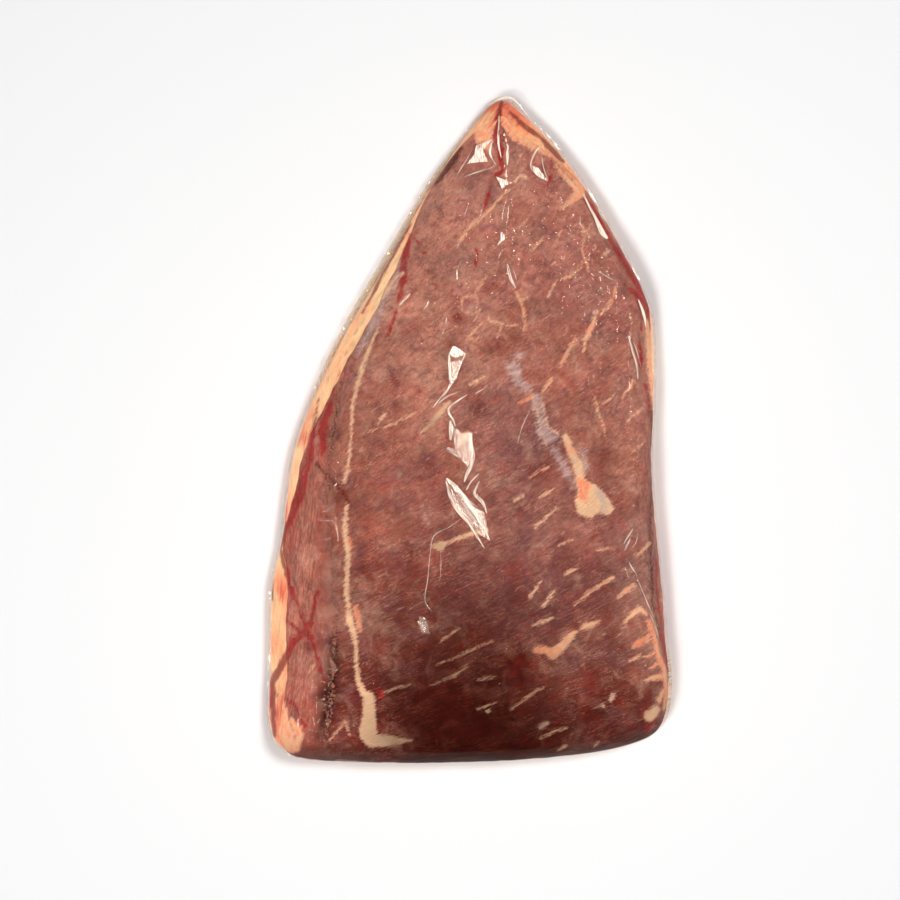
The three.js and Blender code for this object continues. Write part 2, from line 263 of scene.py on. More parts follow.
# What is drawn in the meat: paths as pixels of the photograph, each place with a half-width.
# Before the path stands its tone: 0 is cream, 1 is orange, and below 0 is grey.
fatStrokes = {
    "seamUpper": (0.15, [(378, 328, 0.9), (368, 352, 1.8), (362, 368, 2.2), (356, 391, 2.1),
                         (352.5, 406, 1.7), (351.5, 432, 1.1), (350, 451, 1.4), (347, 473, 1.6),
                         (344.5, 481, 2.2)]),
    "seamMiddle": (0.15, [(347, 505, 1.5), (345, 522, 2.3), (345, 536, 2.5), (348, 549, 2.8),
                          (347.5, 569, 2.0), (346, 593, 2.4), (348.5, 606, 2.7)]),
    "seamBlob": (0.9, [(349.5, 538, 1.6), (350, 546, 1.8)]),
    "seamLower": (0.1, [(349, 612, 2.6), (350, 622, 3.6), (354, 633, 2.8), (356, 647, 1.9),
                        (356, 663, 2.0), (359, 683, 2.3), (364, 694, 3.2)]),
    "seamStain": (0.95, [(355, 607, 2.2), (358, 617, 3.0), (360, 630, 1.8)]),
    "seamPatch": (0.0, [(369, 697, 5.5), (369, 715, 6.5), (368, 733, 9), (372, 740, 7.5)]),
    "seamFoot": (0.0, [(372, 740, 7.0), (390, 741, 5.2), (411, 740.5, 0.5)]),
    "pieceTop": (0.15, [(565, 436, 2.4), (568, 443, 3.6)]),
    "pieceOrange": (0.7, [(568, 446, 3.4), (572, 453, 4.0)]),
    "pieceMiddle": (-0.05, [(572, 455, 3.2), (578, 465, 5.4), (580, 474, 4.6)]),
    "pieceCore": (0.78, [(579, 480, 4.5), (586, 487, 6.5), (583, 498, 5.5)]),
    "pieceEnd": (0.05, [(578, 500, 3.0), (583, 509, 6.5), (590, 512, 6.0)]),
    "pieceFill": (0.2, [(590, 490, 4.0), (593, 500, 6.5), (596, 508, 6.0)]),
    "pieceGrey": (-0.25, [(594, 488, 4.0), (600, 499, 7.0), (606, 508, 7.0)]),
    "branch": (0.6, [(615, 288, 0.5), (614, 296, 0.8), (609, 304, 1.0), (601, 314, 1.3)]),
    "branchThick": (0.5, [(595, 318, 1.8), (591, 329, 2.0), (585, 339, 1.9), (584, 351, 0.7)]),
    "branchLeft": (0.6, [(576, 337, 1.2), (570, 348, 2.0), (565, 357, 1.3), (560, 366, 0.7)]),
    "branchFoot": (0.5, [(551, 379, 1.6), (547, 386, 2.0), (543, 392, 1.0)]),
    "branchEnd": (0.9, [(532, 395, 1.8), (526, 400, 2.4), (519, 403, 1.2)]),
    "dropTail": (0.6, [(515, 291, 0.9), (520, 299, 1.4), (523, 309, 1.4), (525, 320, 1.0),
                       (524, 330, 0.6)]),
    "dropSide": (0.3, [(521, 302, 1.0), (527, 297, 0.6)]),
    "tipStreak": (0.5, [(510, 189, 0.8), (499, 199, 1.1), (488, 212, 1.2), (475, 222, 1.8),
                        (464, 235, 1.5), (457, 246, 0.8)]),
    "tipYellow": (0.1, [(515, 181, 1.2), (520, 176, 1.6), (526, 177, 1.4)]),
    "rightCream": (0.55, [(647, 322, 2.2), (649, 345, 4.4), (651, 372, 4.4), (653, 400, 3.0),
                          (654, 425, 1.8), (655, 450, 1.4)]),
    "rightStrip": (0.55, [(655, 470, 1.4), (657.5, 500, 2.0), (659.5, 540, 2.2), (661, 575, 1.6),
                          (662, 600, 0.8)]),
    "spur": (0.65, [(580, 193, 5.0), (571, 201, 3.0), (561, 208, 1.8)]),
    "spurTop": (0.6, [(556, 166, 1.6), (568, 180, 3.4), (577, 190, 3.0)]),
    "rimBandUpper": (0.75, [(505, 124, 4.0), (519, 136, 5.5), (535, 142, 3.5), (548, 149, 2.6),
                            (560, 162, 4.0), (573, 175, 5.0), (581, 190, 4.0)]),
    "tipRight": (0.6, [(508, 118, 8.0), (520, 131, 12.0), (536, 142, 9.5), (549, 152, 5.5)]),
    "tipLeft": (0.65, [(492, 113, 7.0), (486, 125, 9.0), (483, 137, 8.0), (488, 147, 4.0)]),
    "tipMiddle": (0.9, [(498, 105, 6.0), (508, 111, 5.0)]),
    "netLeft": (0.45, [(462, 298, 0.5), (462, 313, 0.6), (479, 312, 0.6), (477, 295, 0.5),
                       (463, 297, 0.4)]),
    "netTop": (0.5, [(487, 276, 0.6), (480, 284, 0.6), (475, 294, 0.5)]),
    "netTail": (0.5, [(479, 312, 0.5), (475, 320, 0.5)]),
    "curl": (0.3, [(488, 312, 0.4), (489, 321, 0.7), (498, 322, 0.7), (508, 326, 0.6), (518, 325, 0.4)]),
    "curlDown": (0.4, [(501, 325, 0.5), (498, 338, 0.5)]),
    "wedge": (0.5, [(482, 322, 0.6), (473, 332, 1.6), (466, 339, 1.2), (478, 339, 0.5)]),
    "creamDash": (0.2, [(486, 376, 0.6), (478, 380, 1.6), (471, 385, 1.0)]),
    "patchUpper": (0.2, [(449, 402, 1.6), (440, 413, 3.0), (431, 424, 2.6), (420, 433, 0.8)]),
    "blockOrange": (0.6, [(460, 441, 3.0), (468, 435, 3.5)]),
    "patchMiddle": (0.1, [(434, 546, 2.0), (440, 546, 5.2), (446, 543, 1.6)]),
    "streakMiddle": (0.2, [(447, 543, 1.0), (461, 537, 1.8), (474, 532.5, 2.6), (486, 532, 1.6)]),
    "fork": (0.2, [(403, 273, 0.8), (397, 277, 1.7), (389, 287, 2.0), (382, 298, 1.2)]),
    "leftDot": (0.3, [(378, 424, 0.8), (381, 418, 1.4), (386, 413, 0.6)]),
    "wave": (0.3, [(368, 431, 0.4), (395, 424, 0.6), (402, 419, 0.7), (416, 413, 0.5)]),
    "net1": (0.6, [(583, 226, 0.5), (584, 238, 0.8), (581.5, 250, 0.8), (586, 260, 0.7),
                   (588, 270, 0.5)]),
    "net2": (0.5, [(591, 224, 0.4), (585, 236, 0.5)]),
    "net3": (0.5, [(585, 261, 0.5), (578, 269, 0.5), (571, 276, 0.6), (557, 280, 0.5), (548, 296, 0.6)]),
    "net4": (0.5, [(565, 257, 0.4), (552, 265, 0.4)]),
    "net5": (0.6, [(544, 237, 0.5), (530, 253, 0.5)]),
    "net6": (0.6, [(527, 219, 0.6), (520, 228, 0.6)]),
    "net7": (0.5, [(562, 230, 0.4), (555, 243, 0.5)]),
    "spot": (-0.1, [(606, 254, 1.4), (608, 250, 1.4)]),
    "silverLine1": (-0.35, [(533, 396, 0.6), (538, 412, 0.9), (540, 428, 0.7), (546, 444, 0.5)]),
    "silverLine2": (-0.3, [(541, 397, 0.5), (545, 415, 0.9), (548, 428, 1.3), (557, 433, 1.2)]),
    "silverLine3": (-0.4, [(583, 454, 0.4), (585, 468, 0.6)]),
    "greySpot": (-0.4, [(596, 313, 2.2)]),
    "rightCurl": (0.7, [(632, 380, 0.7), (631, 387, 1.1), (625, 393, 0.9), (622, 399, 0.5)]),
    "right2": (0.4, [(613, 396, 0.6), (604, 403, 0.7)]),
    "right3": (0.4, [(594, 396, 0.5), (597, 409, 0.7), (604, 427, 0.7), (605, 435, 0.4)]),
    "right4": (0.5, [(642, 408, 0.5), (628, 420, 0.9)]),
    "right5": (0.4, [(645, 440, 0.5), (640, 446, 0.7), (632, 452, 0.5)]),
    "lower1": (0.9, [(529, 478, 0.6), (540, 471, 0.9), (549, 467, 0.6)]),
    "lower2": (0.3, [(539, 498, 1.0), (546, 493, 1.5), (553, 489, 0.7)]),
    "lower3": (0.2, [(515, 501, 1.1), (524, 496, 0.6)]),
    "lower4": (0.2, [(535, 528, 1.0), (543, 520, 1.5), (550, 513, 0.7)]),
    "lower5": (0.3, [(539, 522, 0.6), (548, 515, 0.9), (558, 508, 0.6)]),
    "lower6": (0.4, [(559, 546, 0.7), (572, 540, 0.5)]),
    "lower7": (0.3, [(565, 574, 1.2), (571, 571, 1.2), (577, 568, 0.4)]),
    "lower8": (0.5, [(598, 550, 0.7), (611, 547, 0.6)]),
    "lower9": (0.0, [(530, 597, 1.1), (536, 589, 1.3), (541, 581, 0.5)]),
    "lower10": (0.1, [(543, 606, 1.2), (549, 598, 1.2), (555, 590, 0.6)]),
    "lower11": (0.2, [(533, 626, 0.6), (541, 622, 1.5), (552, 618, 1.0)]),
    "longStreak": (0.55, [(575, 605, 0.6), (590, 592, 1.6), (602, 584, 1.5), (612, 578, 2.4)]),
    "streakRight": (0.5, [(618, 598, 0.7), (626, 591, 1.9), (635, 585, 1.3)]),
    "rightTop": (0.4, [(636, 556, 0.7), (642, 551, 1.5), (649, 544, 1.6)]),
    "bigLeft": (0.8, [(537, 650, 3.0), (546, 650, 4.0), (553, 654, 4.5)]),
    "bigMiddle": (0.5, [(553, 654, 5.5), (562, 646, 4.6), (571, 636, 3.6), (576, 632, 2.0)]),
    "bigRight": (0.4, [(583, 628, 2.0), (590, 625, 2.8), (600, 621, 1.0)]),
    "tongue1": (0.4, [(624, 623, 1.0), (632, 615, 2.4), (640, 609, 3.0), (646, 614, 1.5)]),
    "tongue2": (1.0, [(633, 647, 1.5), (641, 641, 3.0), (648, 638, 3.2)]),
    "tongue3": (0.5, [(629, 661, 0.7), (637, 657, 1.4), (643, 655, 0.8)]),
    "tongue4": (0.7, [(647, 656, 1.2), (657, 652, 1.6)]),
    "tongue5": (0.8, [(650, 668, 1.0), (660, 662, 2.0)]),
    "tongue6": (0.6, [(646, 680, 1.2), (655, 677, 2.6), (664, 676, 3.0)]),
    "tongue7": (0.5, [(659, 700, 3.2), (663, 690, 2.2)]),
    "rimBandLower": (0.75, [(649, 622, 2.4), (655, 640, 2.8), (658, 655, 2.6), (664, 670, 2.8),
                            (666, 690, 2.6), (664, 708, 2.4)]),
    "lump": (0.15, [(650, 716, 6.0), (655, 711, 5.6)]),
    "small1": (-0.3, [(611, 700, 1.8), (613, 695, 1.8)]),
    "small2": (-0.2, [(603, 706, 1.5)]),
    "small3": (0.4, [(558, 750, 1.0), (565, 746, 1.6)]),
    "small4": (-0.4, [(488, 711, 2.2)]),
    "small5": (-0.5, [(541, 727, 2.4), (547, 723, 2.0)]),
    "small6": (0.3, [(598, 742, 1.2), (594, 746, 0.8)]),
    "long1": (0.25, [(384, 694, 0.4), (396, 688, 0.7), (410, 685, 0.3)]),
    "long1Thick": (0.25, [(430, 686, 0.2), (444, 680, 1.0), (459, 673, 1.2), (468, 664, 0.3)]),
    "long2": (0.1, [(436, 665, 0.3), (459, 656, 0.7), (478, 647, 0.6), (492, 641, 0.2)]),
    "long3": (0.3, [(478, 709, 0.5), (487, 706, 0.7), (497, 702, 0.4)]),
    "long4": (0.3, [(510, 710, 0.6), (527, 698, 1.0), (537, 690, 0.9), (544, 688, 0.5)]),
    "long5": (0.35, [(541, 738, 0.7), (555, 731, 1.2), (567, 728, 0.5)]),
    "long6": (0.3, [(440, 642, 0.4), (459, 628, 0.6)]),
    "long7": (0.3, [(478, 680, 0.4), (496, 676, 0.6)]),
    "flankPale": (0.5, [(315, 664, 0.6), (308, 672, 1.0)]),
    "flankLow": (0.7, [(292, 735, 3.0), (300, 728, 2.0)]),
    "cornerFat": (0.65, [(278, 690, 4.0), (282, 712, 7.0), (285, 732, 9.0), (290, 746, 8.0)]),
    "cornerArm": (0.6, [(292, 720, 3.0), (300, 735, 3.6), (296, 748, 4.0)]),
    "cornerPale": (0.4, [(330, 740, 0.6), (345, 722, 0.8), (350, 735, 0.6)]),
}

silverStrokes = [
    [(507, 364, 2.0), (514, 368, 5.5), (518, 380, 5.0), (525, 387, 4.2), (530, 388, 2.0)],
    [(518, 356, 2.0), (525, 355, 1.5)],
    [(535, 398, 5.0), (540, 412, 4.5), (542, 428, 5.5), (548, 438, 6.5), (556, 438, 3.0)],
    [(554, 450, 2.6), (562, 464, 3.4), (570, 478, 3.6), (577, 488, 2.0)],
    [(584, 452, 2.0), (586, 470, 3.0)],
    [(402, 262, 1.5), (395, 280, 2.8), (385, 297, 3.4), (374, 320, 3.4), (365, 342, 3.0),
     (358, 353, 1.5)],
    [(423, 622, 2.2), (424, 630, 1.6)],
]

redStrokes = [  # purge and fresh red meat
    [(335, 393, 1.0), (327, 412, 3.0), (321, 430, 4.2), (324, 448, 2.6), (321, 456, 1.0)],
    [(318, 398, 0.8), (314, 425, 2.2), (310, 452, 3.8), (303, 483, 4.6), (296, 506, 4.4),
     (289, 524, 3.4)],
    [(271, 683, 3.6), (281, 666, 3.8), (294, 642, 3.6), (311, 622, 2.8), (317, 592, 1.2)],
    [(281, 552, 2.0), (288, 580, 2.4), (297, 605, 2.0), (309, 634, 1.8), (320, 666, 2.0),
     (325, 686, 1.6)],
    [(287, 621, 1.2), (302, 634, 1.6)],
    [(272, 683, 3.4), (272, 705, 2.6), (274, 735, 2.6)],
    [(273, 692, 1.2), (294, 704, 1.0), (305, 726, 1.0)],
    [(287, 524, 3.0), (284, 532, 3.6), (280, 541, 4.4), (275, 551, 4.4), (272, 562, 2.4)],
    [(270, 548, 1.4), (271, 570, 1.6), (272, 600, 1.0)],
    [(410, 234, 1.0), (405, 251, 2.6), (404, 268, 3.6), (402, 284, 2.8), (397, 306, 1.4)],
    [(397, 306, 1.4), (394, 319, 2.0), (388, 335, 1.4)],
    [(412, 236, 0.6), (420, 244, 0.8), (426, 255, 0.5)],
    [(410, 224, 1.6), (401, 239, 2.0), (393, 255, 1.8), (382, 274, 2.0), (374, 290, 1.6),
     (362, 312, 1.2)],
    [(510, 112, 1.4), (519, 121, 2.6), (531, 130, 2.8), (543, 139, 2.8), (553, 150, 3.6),
     (562, 160, 3.0)],
    [(502, 100, 1.6), (499, 112, 2.6), (496, 125, 3.6), (499, 145, 3.0), (501, 160, 2.6), (503, 170, 2.2),
     (493, 177, 1.6)],
    [(491, 180, 0.2), (489, 193, 1.2), (484, 209, 1.0), (482, 219, 0.2)],
    [(475, 242, 0.0), (477, 256, 0.6), (475, 270, 0.0)],
    [(546, 148, 0.4), (550, 160, 1.0), (551, 176, 0.8), (548, 186, 0.0)],
    [(581, 192, 1.8), (590, 205, 3.0), (600, 222, 2.8), (611, 240, 3.0), (620, 256, 3.0), (630, 273, 3.4),
     (638, 284, 4.0), (644, 298, 4.0), (648, 318, 2.6), (649, 330, 1.8)],
    [(624, 284, 1.0), (633, 292, 3.0), (640, 297, 3.6)],
    [(640, 300, 2.2), (642, 314, 1.6), (641, 330, 0.3)],
    [(640, 338, 0.4), (641, 350, 1.4), (641, 366, 1.2)],
    [(645, 385, 1.2), (648, 400, 1.4), (648, 416, 0.8)],
    [(379, 691, 0.8), (382, 696, 1.2)],
    [(346, 492, 1.4), (348, 498, 1.8)],
    [(660, 712, 1.5), (652, 724, 2.0), (645, 731, 1.5)],
    [(656, 560, 1.0), (658, 600, 1.6), (663, 640, 1.8), (668, 680, 1.4)],
    [(470, 118, 1.4), (462, 128, 1.2), (454, 138, 1.2)],
]

darkStrokes = [  # nearly black: painted shade in deep folds and at the thick end, and clotted purge
    [(333, 640, 3.0), (334, 660, 5.0), (331, 690, 4.5), (328, 712, 4.0), (322, 726, 2.5)],
    [(432, 736, 3.0), (470, 728, 7.0), (500, 730, 6.0), (450, 712, 7.0), (437, 722, 6.0)],
    [(521, 658, 4.0), (514, 668, 4.5), (508, 660, 2.0)],
    [(518, 668, 2.5), (522, 680, 1.5)],
    [(461, 149, 2.0), (453, 162, 4.0), (446, 171, 3.2), (436, 184, 1.6)],
    [(651, 400, 1.0), (651, 470, 0.9), (651, 530, 1.0), (651, 560, 1.6), (653, 600, 1.2),
     (660, 640, 0.8)],
    [(415, 700, 3.0), (430, 692, 3.0)],
    [(505, 118, 0.8), (501, 160, 0.9)],
    [(311, 457, 1.0), (324, 472, 1.0), (342, 491, 1.0), (352, 507, 0.6)],
    [(357, 329, 0.2), (355, 334, 0.7)],
    [(347, 350, 0.8), (345, 355, 0.5)],
    [(339, 370, 0.7), (337, 375, 0.3)],
    [(334, 386, 0.8), (333, 392, 0.4)],
]

furrowPath = [(341, 382, 2.2), (338, 400, 3.0), (334, 425, 3.4), (331, 452, 3.4), (328, 475, 3.2),
              (326, 500, 2.4), (330, 540, 1.4), (334, 590, 1.8), (337, 620, 2.6), (334, 645, 3.4),
              (332, 668, 3.8), (331, 690, 3.8), (329, 712, 3.4), (326, 735, 2.0)]


# soft patches: pixel, radius in pixels, strength
tonePatches = {
    # painted shade on drawn fat, which lies darker
    "shade": [(372, 732, 26, 0.12), (396, 744, 24, 0.8), (440, 546, 16, 0.45), (428, 424, 14, 0.45),
              (545, 660, 14, 0.2), (352, 560, 30, 0.15), (440, 690, 44, 0.8), (440, 650, 34, 0.5),
              (555, 745, 60, 0.6), (480, 725, 60, 0.7), (480, 640, 40, 0.5), (400, 690, 16, 0.5),
              (535, 700, 40, 0.5), (655, 716, 20, 0.2)],
    # juice rubbed into the fat cap
    "stain": [(489, 116, 20, 0.6), (501, 104, 16, 0.6), (470, 150, 22, 0.5), (436, 188, 22, 0.4),
              (278, 590, 14, 0.5), (274, 690, 24, 0.5), (290, 738, 16, 0.8), (275, 712, 14, 0.6),
              (515, 118, 16, 0.5), (315, 418, 14, 0.4), (575, 185, 20, 0.5), (655, 385, 20, 0.3),
              (660, 560, 40, 0.8), (664, 630, 30, 0.8), (560, 150, 16, 0.35), (300, 436, 12, 0.5),
              (286, 520, 14, 0.6), (655, 460, 30, 0.6), (640, 280, 30, 0.7)],
    # meat in shade
    "dark": [(331, 645, 9, 0.5), (330, 668, 9, 0.6), (329, 692, 9, 0.6), (327, 715, 9, 0.5),
             (331, 440, 10, 0.25), (328, 480, 10, 0.25), (332, 400, 8, 0.2), (450, 742, 30, 0.5),
             (440, 735, 30, 0.5), (490, 738, 40, 0.4), (520, 664, 14, 0.5), (640, 735, 22, 0.4),
             (480, 700, 60, 0.35), (610, 705, 34, 0.3), (445, 732, 26, 0.5), (600, 560, 40, 0.12),
             (520, 600, 50, 0.12), (450, 662, 34, 0.35), (484, 702, 40, 0.35), (470, 745, 80, 0.5),
             (520, 600, 22, 0.25), (468, 752, 62, 0.9), (435, 715, 44, 0.5), (520, 745, 50, 0.7),
             (590, 690, 24, 0.2), (517, 665, 10, 0.6), (470, 650, 62, 0.5), (400, 690, 36, 0.3),
             (470, 600, 60, 0.2), (560, 740, 40, 0.35), (333, 700, 12, 0.3), (640, 750, 30, 0.5),
             (350, 772, 30, 0.7), (430, 775, 40, 0.8), (300, 772, 20, 0.5), (600, 768, 30, 0.5)],
    # fresh red meat
    "blush": [(488, 200, 9, 0.3), (476, 262, 9, 0.25), (550, 168, 8, 0.3), (479, 410, 8, 0.5),
              (606, 456, 8, 0.55), (600, 466, 6, 0.4), (429, 465, 6, 0.5), (446, 500, 7, 0.3),
              (440, 522, 9, 0.3), (592, 672, 7, 0.5), (591, 686, 12, 0.5), (590, 702, 9, 0.45),
              (619, 703, 8, 0.5), (518, 664, 9, 0.65), (513, 672, 6, 0.5), (457, 318, 8, 0.75),
              (457, 300, 6, 0.5), (452, 344, 7, 0.6), (498, 346, 9, 0.6), (485, 350, 8, 0.5),
              (514, 339, 7, 0.5), (548, 188, 8, 0.4), (520, 205, 12, 0.3), (320, 566, 7, 0.4),
              (340, 500, 9, 0.5), (415, 330, 9, 0.3), (375, 690, 9, 0.5), (535, 470, 12, 0.3),
              (580, 330, 10, 0.35), (325, 430, 9, 0.5), (470, 500, 12, 0.25), (350, 640, 8, 0.4),
              (466, 235, 12, 0.3), (398, 380, 10, 0.25), (430, 690, 12, 0.35), (576, 628, 6, 0.5),
              (560, 560, 16, 0.2), (620, 620, 16, 0.25)],
    # paler meat, and painted light on the steep right side
    "paleAndLit": [(303, 560, 9, 0.8), (296, 578, 8, 0.7), (301, 660, 9, 0.6), (292, 680, 8, 0.4),
             (316, 556, 5, 0.6), (290, 625, 6, 0.5), (319, 498, 12, 0.45), (290, 508, 8, 0.45),
             (300, 600, 10, 0.3), (450, 290, 50, 0.22), (445, 195, 26, 0.3), (488, 200, 20, 0.2),
             (440, 235, 40, 0.25), (400, 320, 26, 0.25), (455, 350, 46, 0.2), (470, 300, 40, 0.1),
             (480, 480, 20, 0.2), (350, 620, 26, 0.3), (520, 550, 40, 0.08), (600, 545, 36, 0.08),
             (640, 552, 24, 0.4), (560, 520, 24, 0.2), (440, 375, 42, 0.2), (640, 600, 26, 0.3),
             (630, 455, 30, 0.2), (455, 430, 36, 0.15), (510, 372, 20, 0.2), (545, 195, 40, 0.15),
             (405, 300, 30, 0.15), (560, 655, 30, 0.15), (645, 350, 30, 0.35), (650, 400, 30, 0.2),
             (650, 540, 30, 0.4), (655, 600, 30, 0.4), (655, 650, 30, 0.4)],
    # meat that has gone mauve
    "mauve": [(500, 440, 46, 0.3), (530, 572, 46, 0.35), (600, 512, 36, 0.3), (592, 590, 36, 0.25),
              (560, 275, 28, 0.25), (600, 320, 28, 0.28), (620, 410, 28, 0.3), (402, 480, 24, 0.3),
              (440, 516, 24, 0.3), (525, 622, 26, 0.35), (600, 650, 20, 0.2), (520, 455, 38, 0.5),
              (545, 425, 22, 0.4), (525, 520, 30, 0.35), (478, 405, 20, 0.35), (505, 385, 20, 0.3),
              (480, 190, 22, 0.3), (640, 545, 30, 0.4), (455, 265, 20, 0.25), (470, 575, 40, 0.2),
              (640, 580, 26, 0.35), (470, 305, 16, 0.4)],
    # drawn fat that is paler than the rest, and painted light on the steep right wall
    "paleFatAndLit": [(500, 112, 20, 0.9), (522, 128, 18, 0.9), (550, 150, 14, 0.3), (574, 190, 14, 0.6),
               (484, 130, 16, 0.8), (284, 724, 26, 0.9), (580, 490, 14, 0.5), (358, 690, 16, 0.35),
               (655, 660, 30, 0.4), (652, 380, 40, 0.6), (346, 540, 30, 0.15), (640, 620, 20, 0.4)],
    # meat with more marbling
    "flecky": [(600, 520, 60, 1), (560, 600, 70, 1), (630, 640, 50, 1), (510, 560, 60, 0.8),
               (560, 700, 60, 0.6), (440, 660, 50, 0.4), (620, 420, 50, 0.6), (480, 300, 50, 0.6),
               (530, 340, 50, 0.5), (520, 200, 50, 0.4), (460, 560, 40, 0.4), (600, 300, 50, 0.5)],
}


def patchStrength(places, patches):
    centres = onPack([patch[:2] for patch in patches])
    rest = np.ones(len(places))
    for centre, (_, _, radius, strength) in zip(centres, patches):
        gap = np.linalg.norm(places - centre, axis=1) / (radius * photo["pixel"])
        rest *= 1 - min(strength, 0.98) * np.exp(-gap ** 2)
    return 1 - rest


# how deep each place lies in the nearest of several strokes, in millimetres, positive inside, and
# the strokes' tone there, blended where strokes touch
def strokeDepth(places, strokes, margin=4):
    depth = np.full(len(places), -float(margin))
    tone, weights = np.zeros(len(places)), np.full(len(places), 1e-9)
    for strokeTone, path in strokes:
        low = path[:, :2].min(0) - path[:, 2].max() - margin
        high = path[:, :2].max(0) + path[:, 2].max() + margin
        near = np.flatnonzero(((places > low) & (places < high)).all(1))
        if len(near) == 0:
            continue
        found = -pathDistance(places[near], path)
        depth[near] = np.maximum(depth[near], found)
        weight = np.exp(found / 0.7)
        tone[near] += strokeTone * weight
        weights[near] += weight
    return depth, tone / weights


drawn = {
    "fat": [(tone, pathOnPack(path)) for tone, path in fatStrokes.values()],
    "silver": [(0, pathOnPack(path)) for path in silverStrokes],
    "juice": [(0, pathOnPack(path)) for path in redStrokes],
    "clotAndShade": [(0, pathOnPack(path)) for path in darkStrokes],
    "froth": [(0, pathOnPack(furrowPath))],
}


def toPiece(name, bm):
    mesh = bpy.data.meshes.new(name)
    bm.to_mesh(mesh)
    bm.free()
    piece = bpy.data.objects.new(name, mesh)
    bpy.context.scene.collection.objects.link(piece)
    return piece


# where the corners of each skin's grid lie on the rim: the two of the wide end, and a share of the
# way round to both sides of the point
skinForm = {"bottomRight": (79, -125), "bottomLeft": (-80, -129), "besidePoint": 0.02}


def cornerAlong(name):
    return rim["along"][np.argmin(np.linalg.norm(rim["wall"] - skinForm[name], axis=1))]


skinCorners = {"bottomLeft": cornerAlong("bottomLeft"), "bottomRight": cornerAlong("bottomRight"),
               "topLeft": -skinForm["besidePoint"], "topRight": skinForm["besidePoint"]}


# A closed skin: a grid of vertices is laid inside a closed curve, and its border is then drawn on
# ring by ring. curve and each ring turn places along the rim into coordinates.
def makeSkin(name, columns, rows, curve, height, rings, lastPoint=None):
    bm = bmesh.new()
    bmesh.ops.create_grid(bm, x_segments=columns, y_segments=rows, size=1)
    alongLayer = bm.verts.layers.float.new("along")
    flat = np.array([v.co.xy for v in bm.verts])
    s, t = (flat[:, 0] + 1) / 2, (flat[:, 1] + 1) / 2
    bottomLeft, bottomRight, topLeft, topRight = skinCorners.values()
    left = bottomLeft + (1 + topLeft - bottomLeft) * t
    right = bottomRight + (topRight - bottomRight) * t
    bottom = bottomLeft + (bottomRight - bottomLeft) * s
    top = topLeft + (topRight - topLeft) * s
    corners = [curve(np.array([corner])) for corner in skinCorners.values()]
    toRight, toTop = s[:, None], t[:, None]
    toLeft, toBottom = 1 - toRight, 1 - toTop
    plan = (toLeft * curve(left) + toRight * curve(right) + toBottom * curve(bottom) + toTop * curve(top)
            - toLeft * toBottom * corners[0] - toRight * toBottom * corners[1]
            - toLeft * toTop * corners[2] - toRight * toTop * corners[3])
    along = np.select([s < 1e-5, s > 1 - 1e-5, t < 1e-5], [left, right, bottom], top)
    coordinates = np.column_stack([plan, height(plan)])
    for vert, place, a in zip(bm.verts, coordinates, along):
        vert.co = place
        vert[alongLayer] = a
    border = [e for e in bm.edges if e.is_boundary]
    for ring in rings:
        made = bmesh.ops.extrude_edge_only(bm, edges=border)["geom"]
        border = [e for e in made if isinstance(e, bmesh.types.BMEdge)]
        verts = [v for v in made if isinstance(v, bmesh.types.BMVert)]
        for vert, place in zip(verts, ring(np.array([v[alongLayer] for v in verts]))):
            vert.co = place
        border = [e for e in border if e.is_boundary]
    if lastPoint is not None:
        made = bmesh.ops.extrude_edge_only(bm, edges=border)["geom"]
        verts = [v for v in made if isinstance(v, bmesh.types.BMVert)]
        bmesh.ops.pointmerge(bm, verts=verts, merge_co=lastPoint)
    bmesh.ops.recalc_face_normals(bm, faces=bm.faces)
    for face in bm.faces:
        face.smooth = True
    return toPiece(name, bm)


def readVerts(piece, what="co"):
    values = np.empty(len(piece.data.vertices) * 3)
    piece.data.vertices.foreach_get(what, values)
    return values.reshape(-1, 3)


def writeVerts(piece, places):
    piece.data.vertices.foreach_set("co", places.ravel())
    piece.data.update()


# moves a finished skin from millimetres round the stations' origin to metres in the frame
def intoFrame(piece):
    writeVerts(piece, (readVerts(piece) + (*boxShift, 0)) * mm)


def writeAttribute(piece, name, values):
    kind = "FLOAT" if values.ndim == 1 else "FLOAT_VECTOR"
    layer = piece.data.attributes.new(name, kind, "POINT")
    layer.data.foreach_set("value" if kind == "FLOAT" else "vector", values.astype(np.float32).ravel())


# rings down the side, evenly spaced along its round profile, between two distances from the wall
def sideRings(count, start, end, onFilm=False):
    def ring(share):
        def place(along):
            shoulder, bluntness = onRim("shoulder", along), onRim("bluntness", along)
            turnStart = np.arccos(np.clip(1 - start(along) / shoulder, 0, 1) ** (bluntness / 2))
            turnEnd = np.arccos(np.clip(1 - end(along) / shoulder, 0, 1) ** (bluntness / 2))
            turn = turnStart + (turnEnd - turnStart) * share
            distance = shoulder * (1 - np.cos(turn) ** (2 / bluntness))
            plan = inFromWall(along, distance)
            rising = np.sin(turn) ** (2 / bluntness)
            body = thicknessAt(plan[:, 1]) - rimHeight + reliefAt(plan, onFilm)
            return np.column_stack([plan, rimHeight + body * rising])
        return place
    return [ring((i + 1) / count) for i in range(count)]


def flatCurve(along):
    return inFromWall(along, np.full(len(along), packForm["underRound"]))


def flatHeight(plan):
    return 0 * plan[:, 0]


def atWall(along):
    return 0 * along


# rings round the underside's edge, from where it lies flat out to the wall
def underRings(count):
    def ring(turn):
        def place(along):
            blunt = packForm["underBluntness"]
            distance = np.full(len(along), packForm["underRound"] * (1 - np.cos(turn) ** (2 / blunt)))
            height = rimHeight * (1 - np.sin(turn) ** (2 / blunt))
            return np.column_stack([inFromWall(along, distance), np.full(len(along), height)])
        return place
    return [ring(pi / 2 - pi / 2 * (i + 1) / count) for i in range(count)]


# several sine waves together, each with its rate, shift and size
def waves(value, terms):
    return sum(size * np.sin(value * rate + shift) for rate, shift, size in terms)


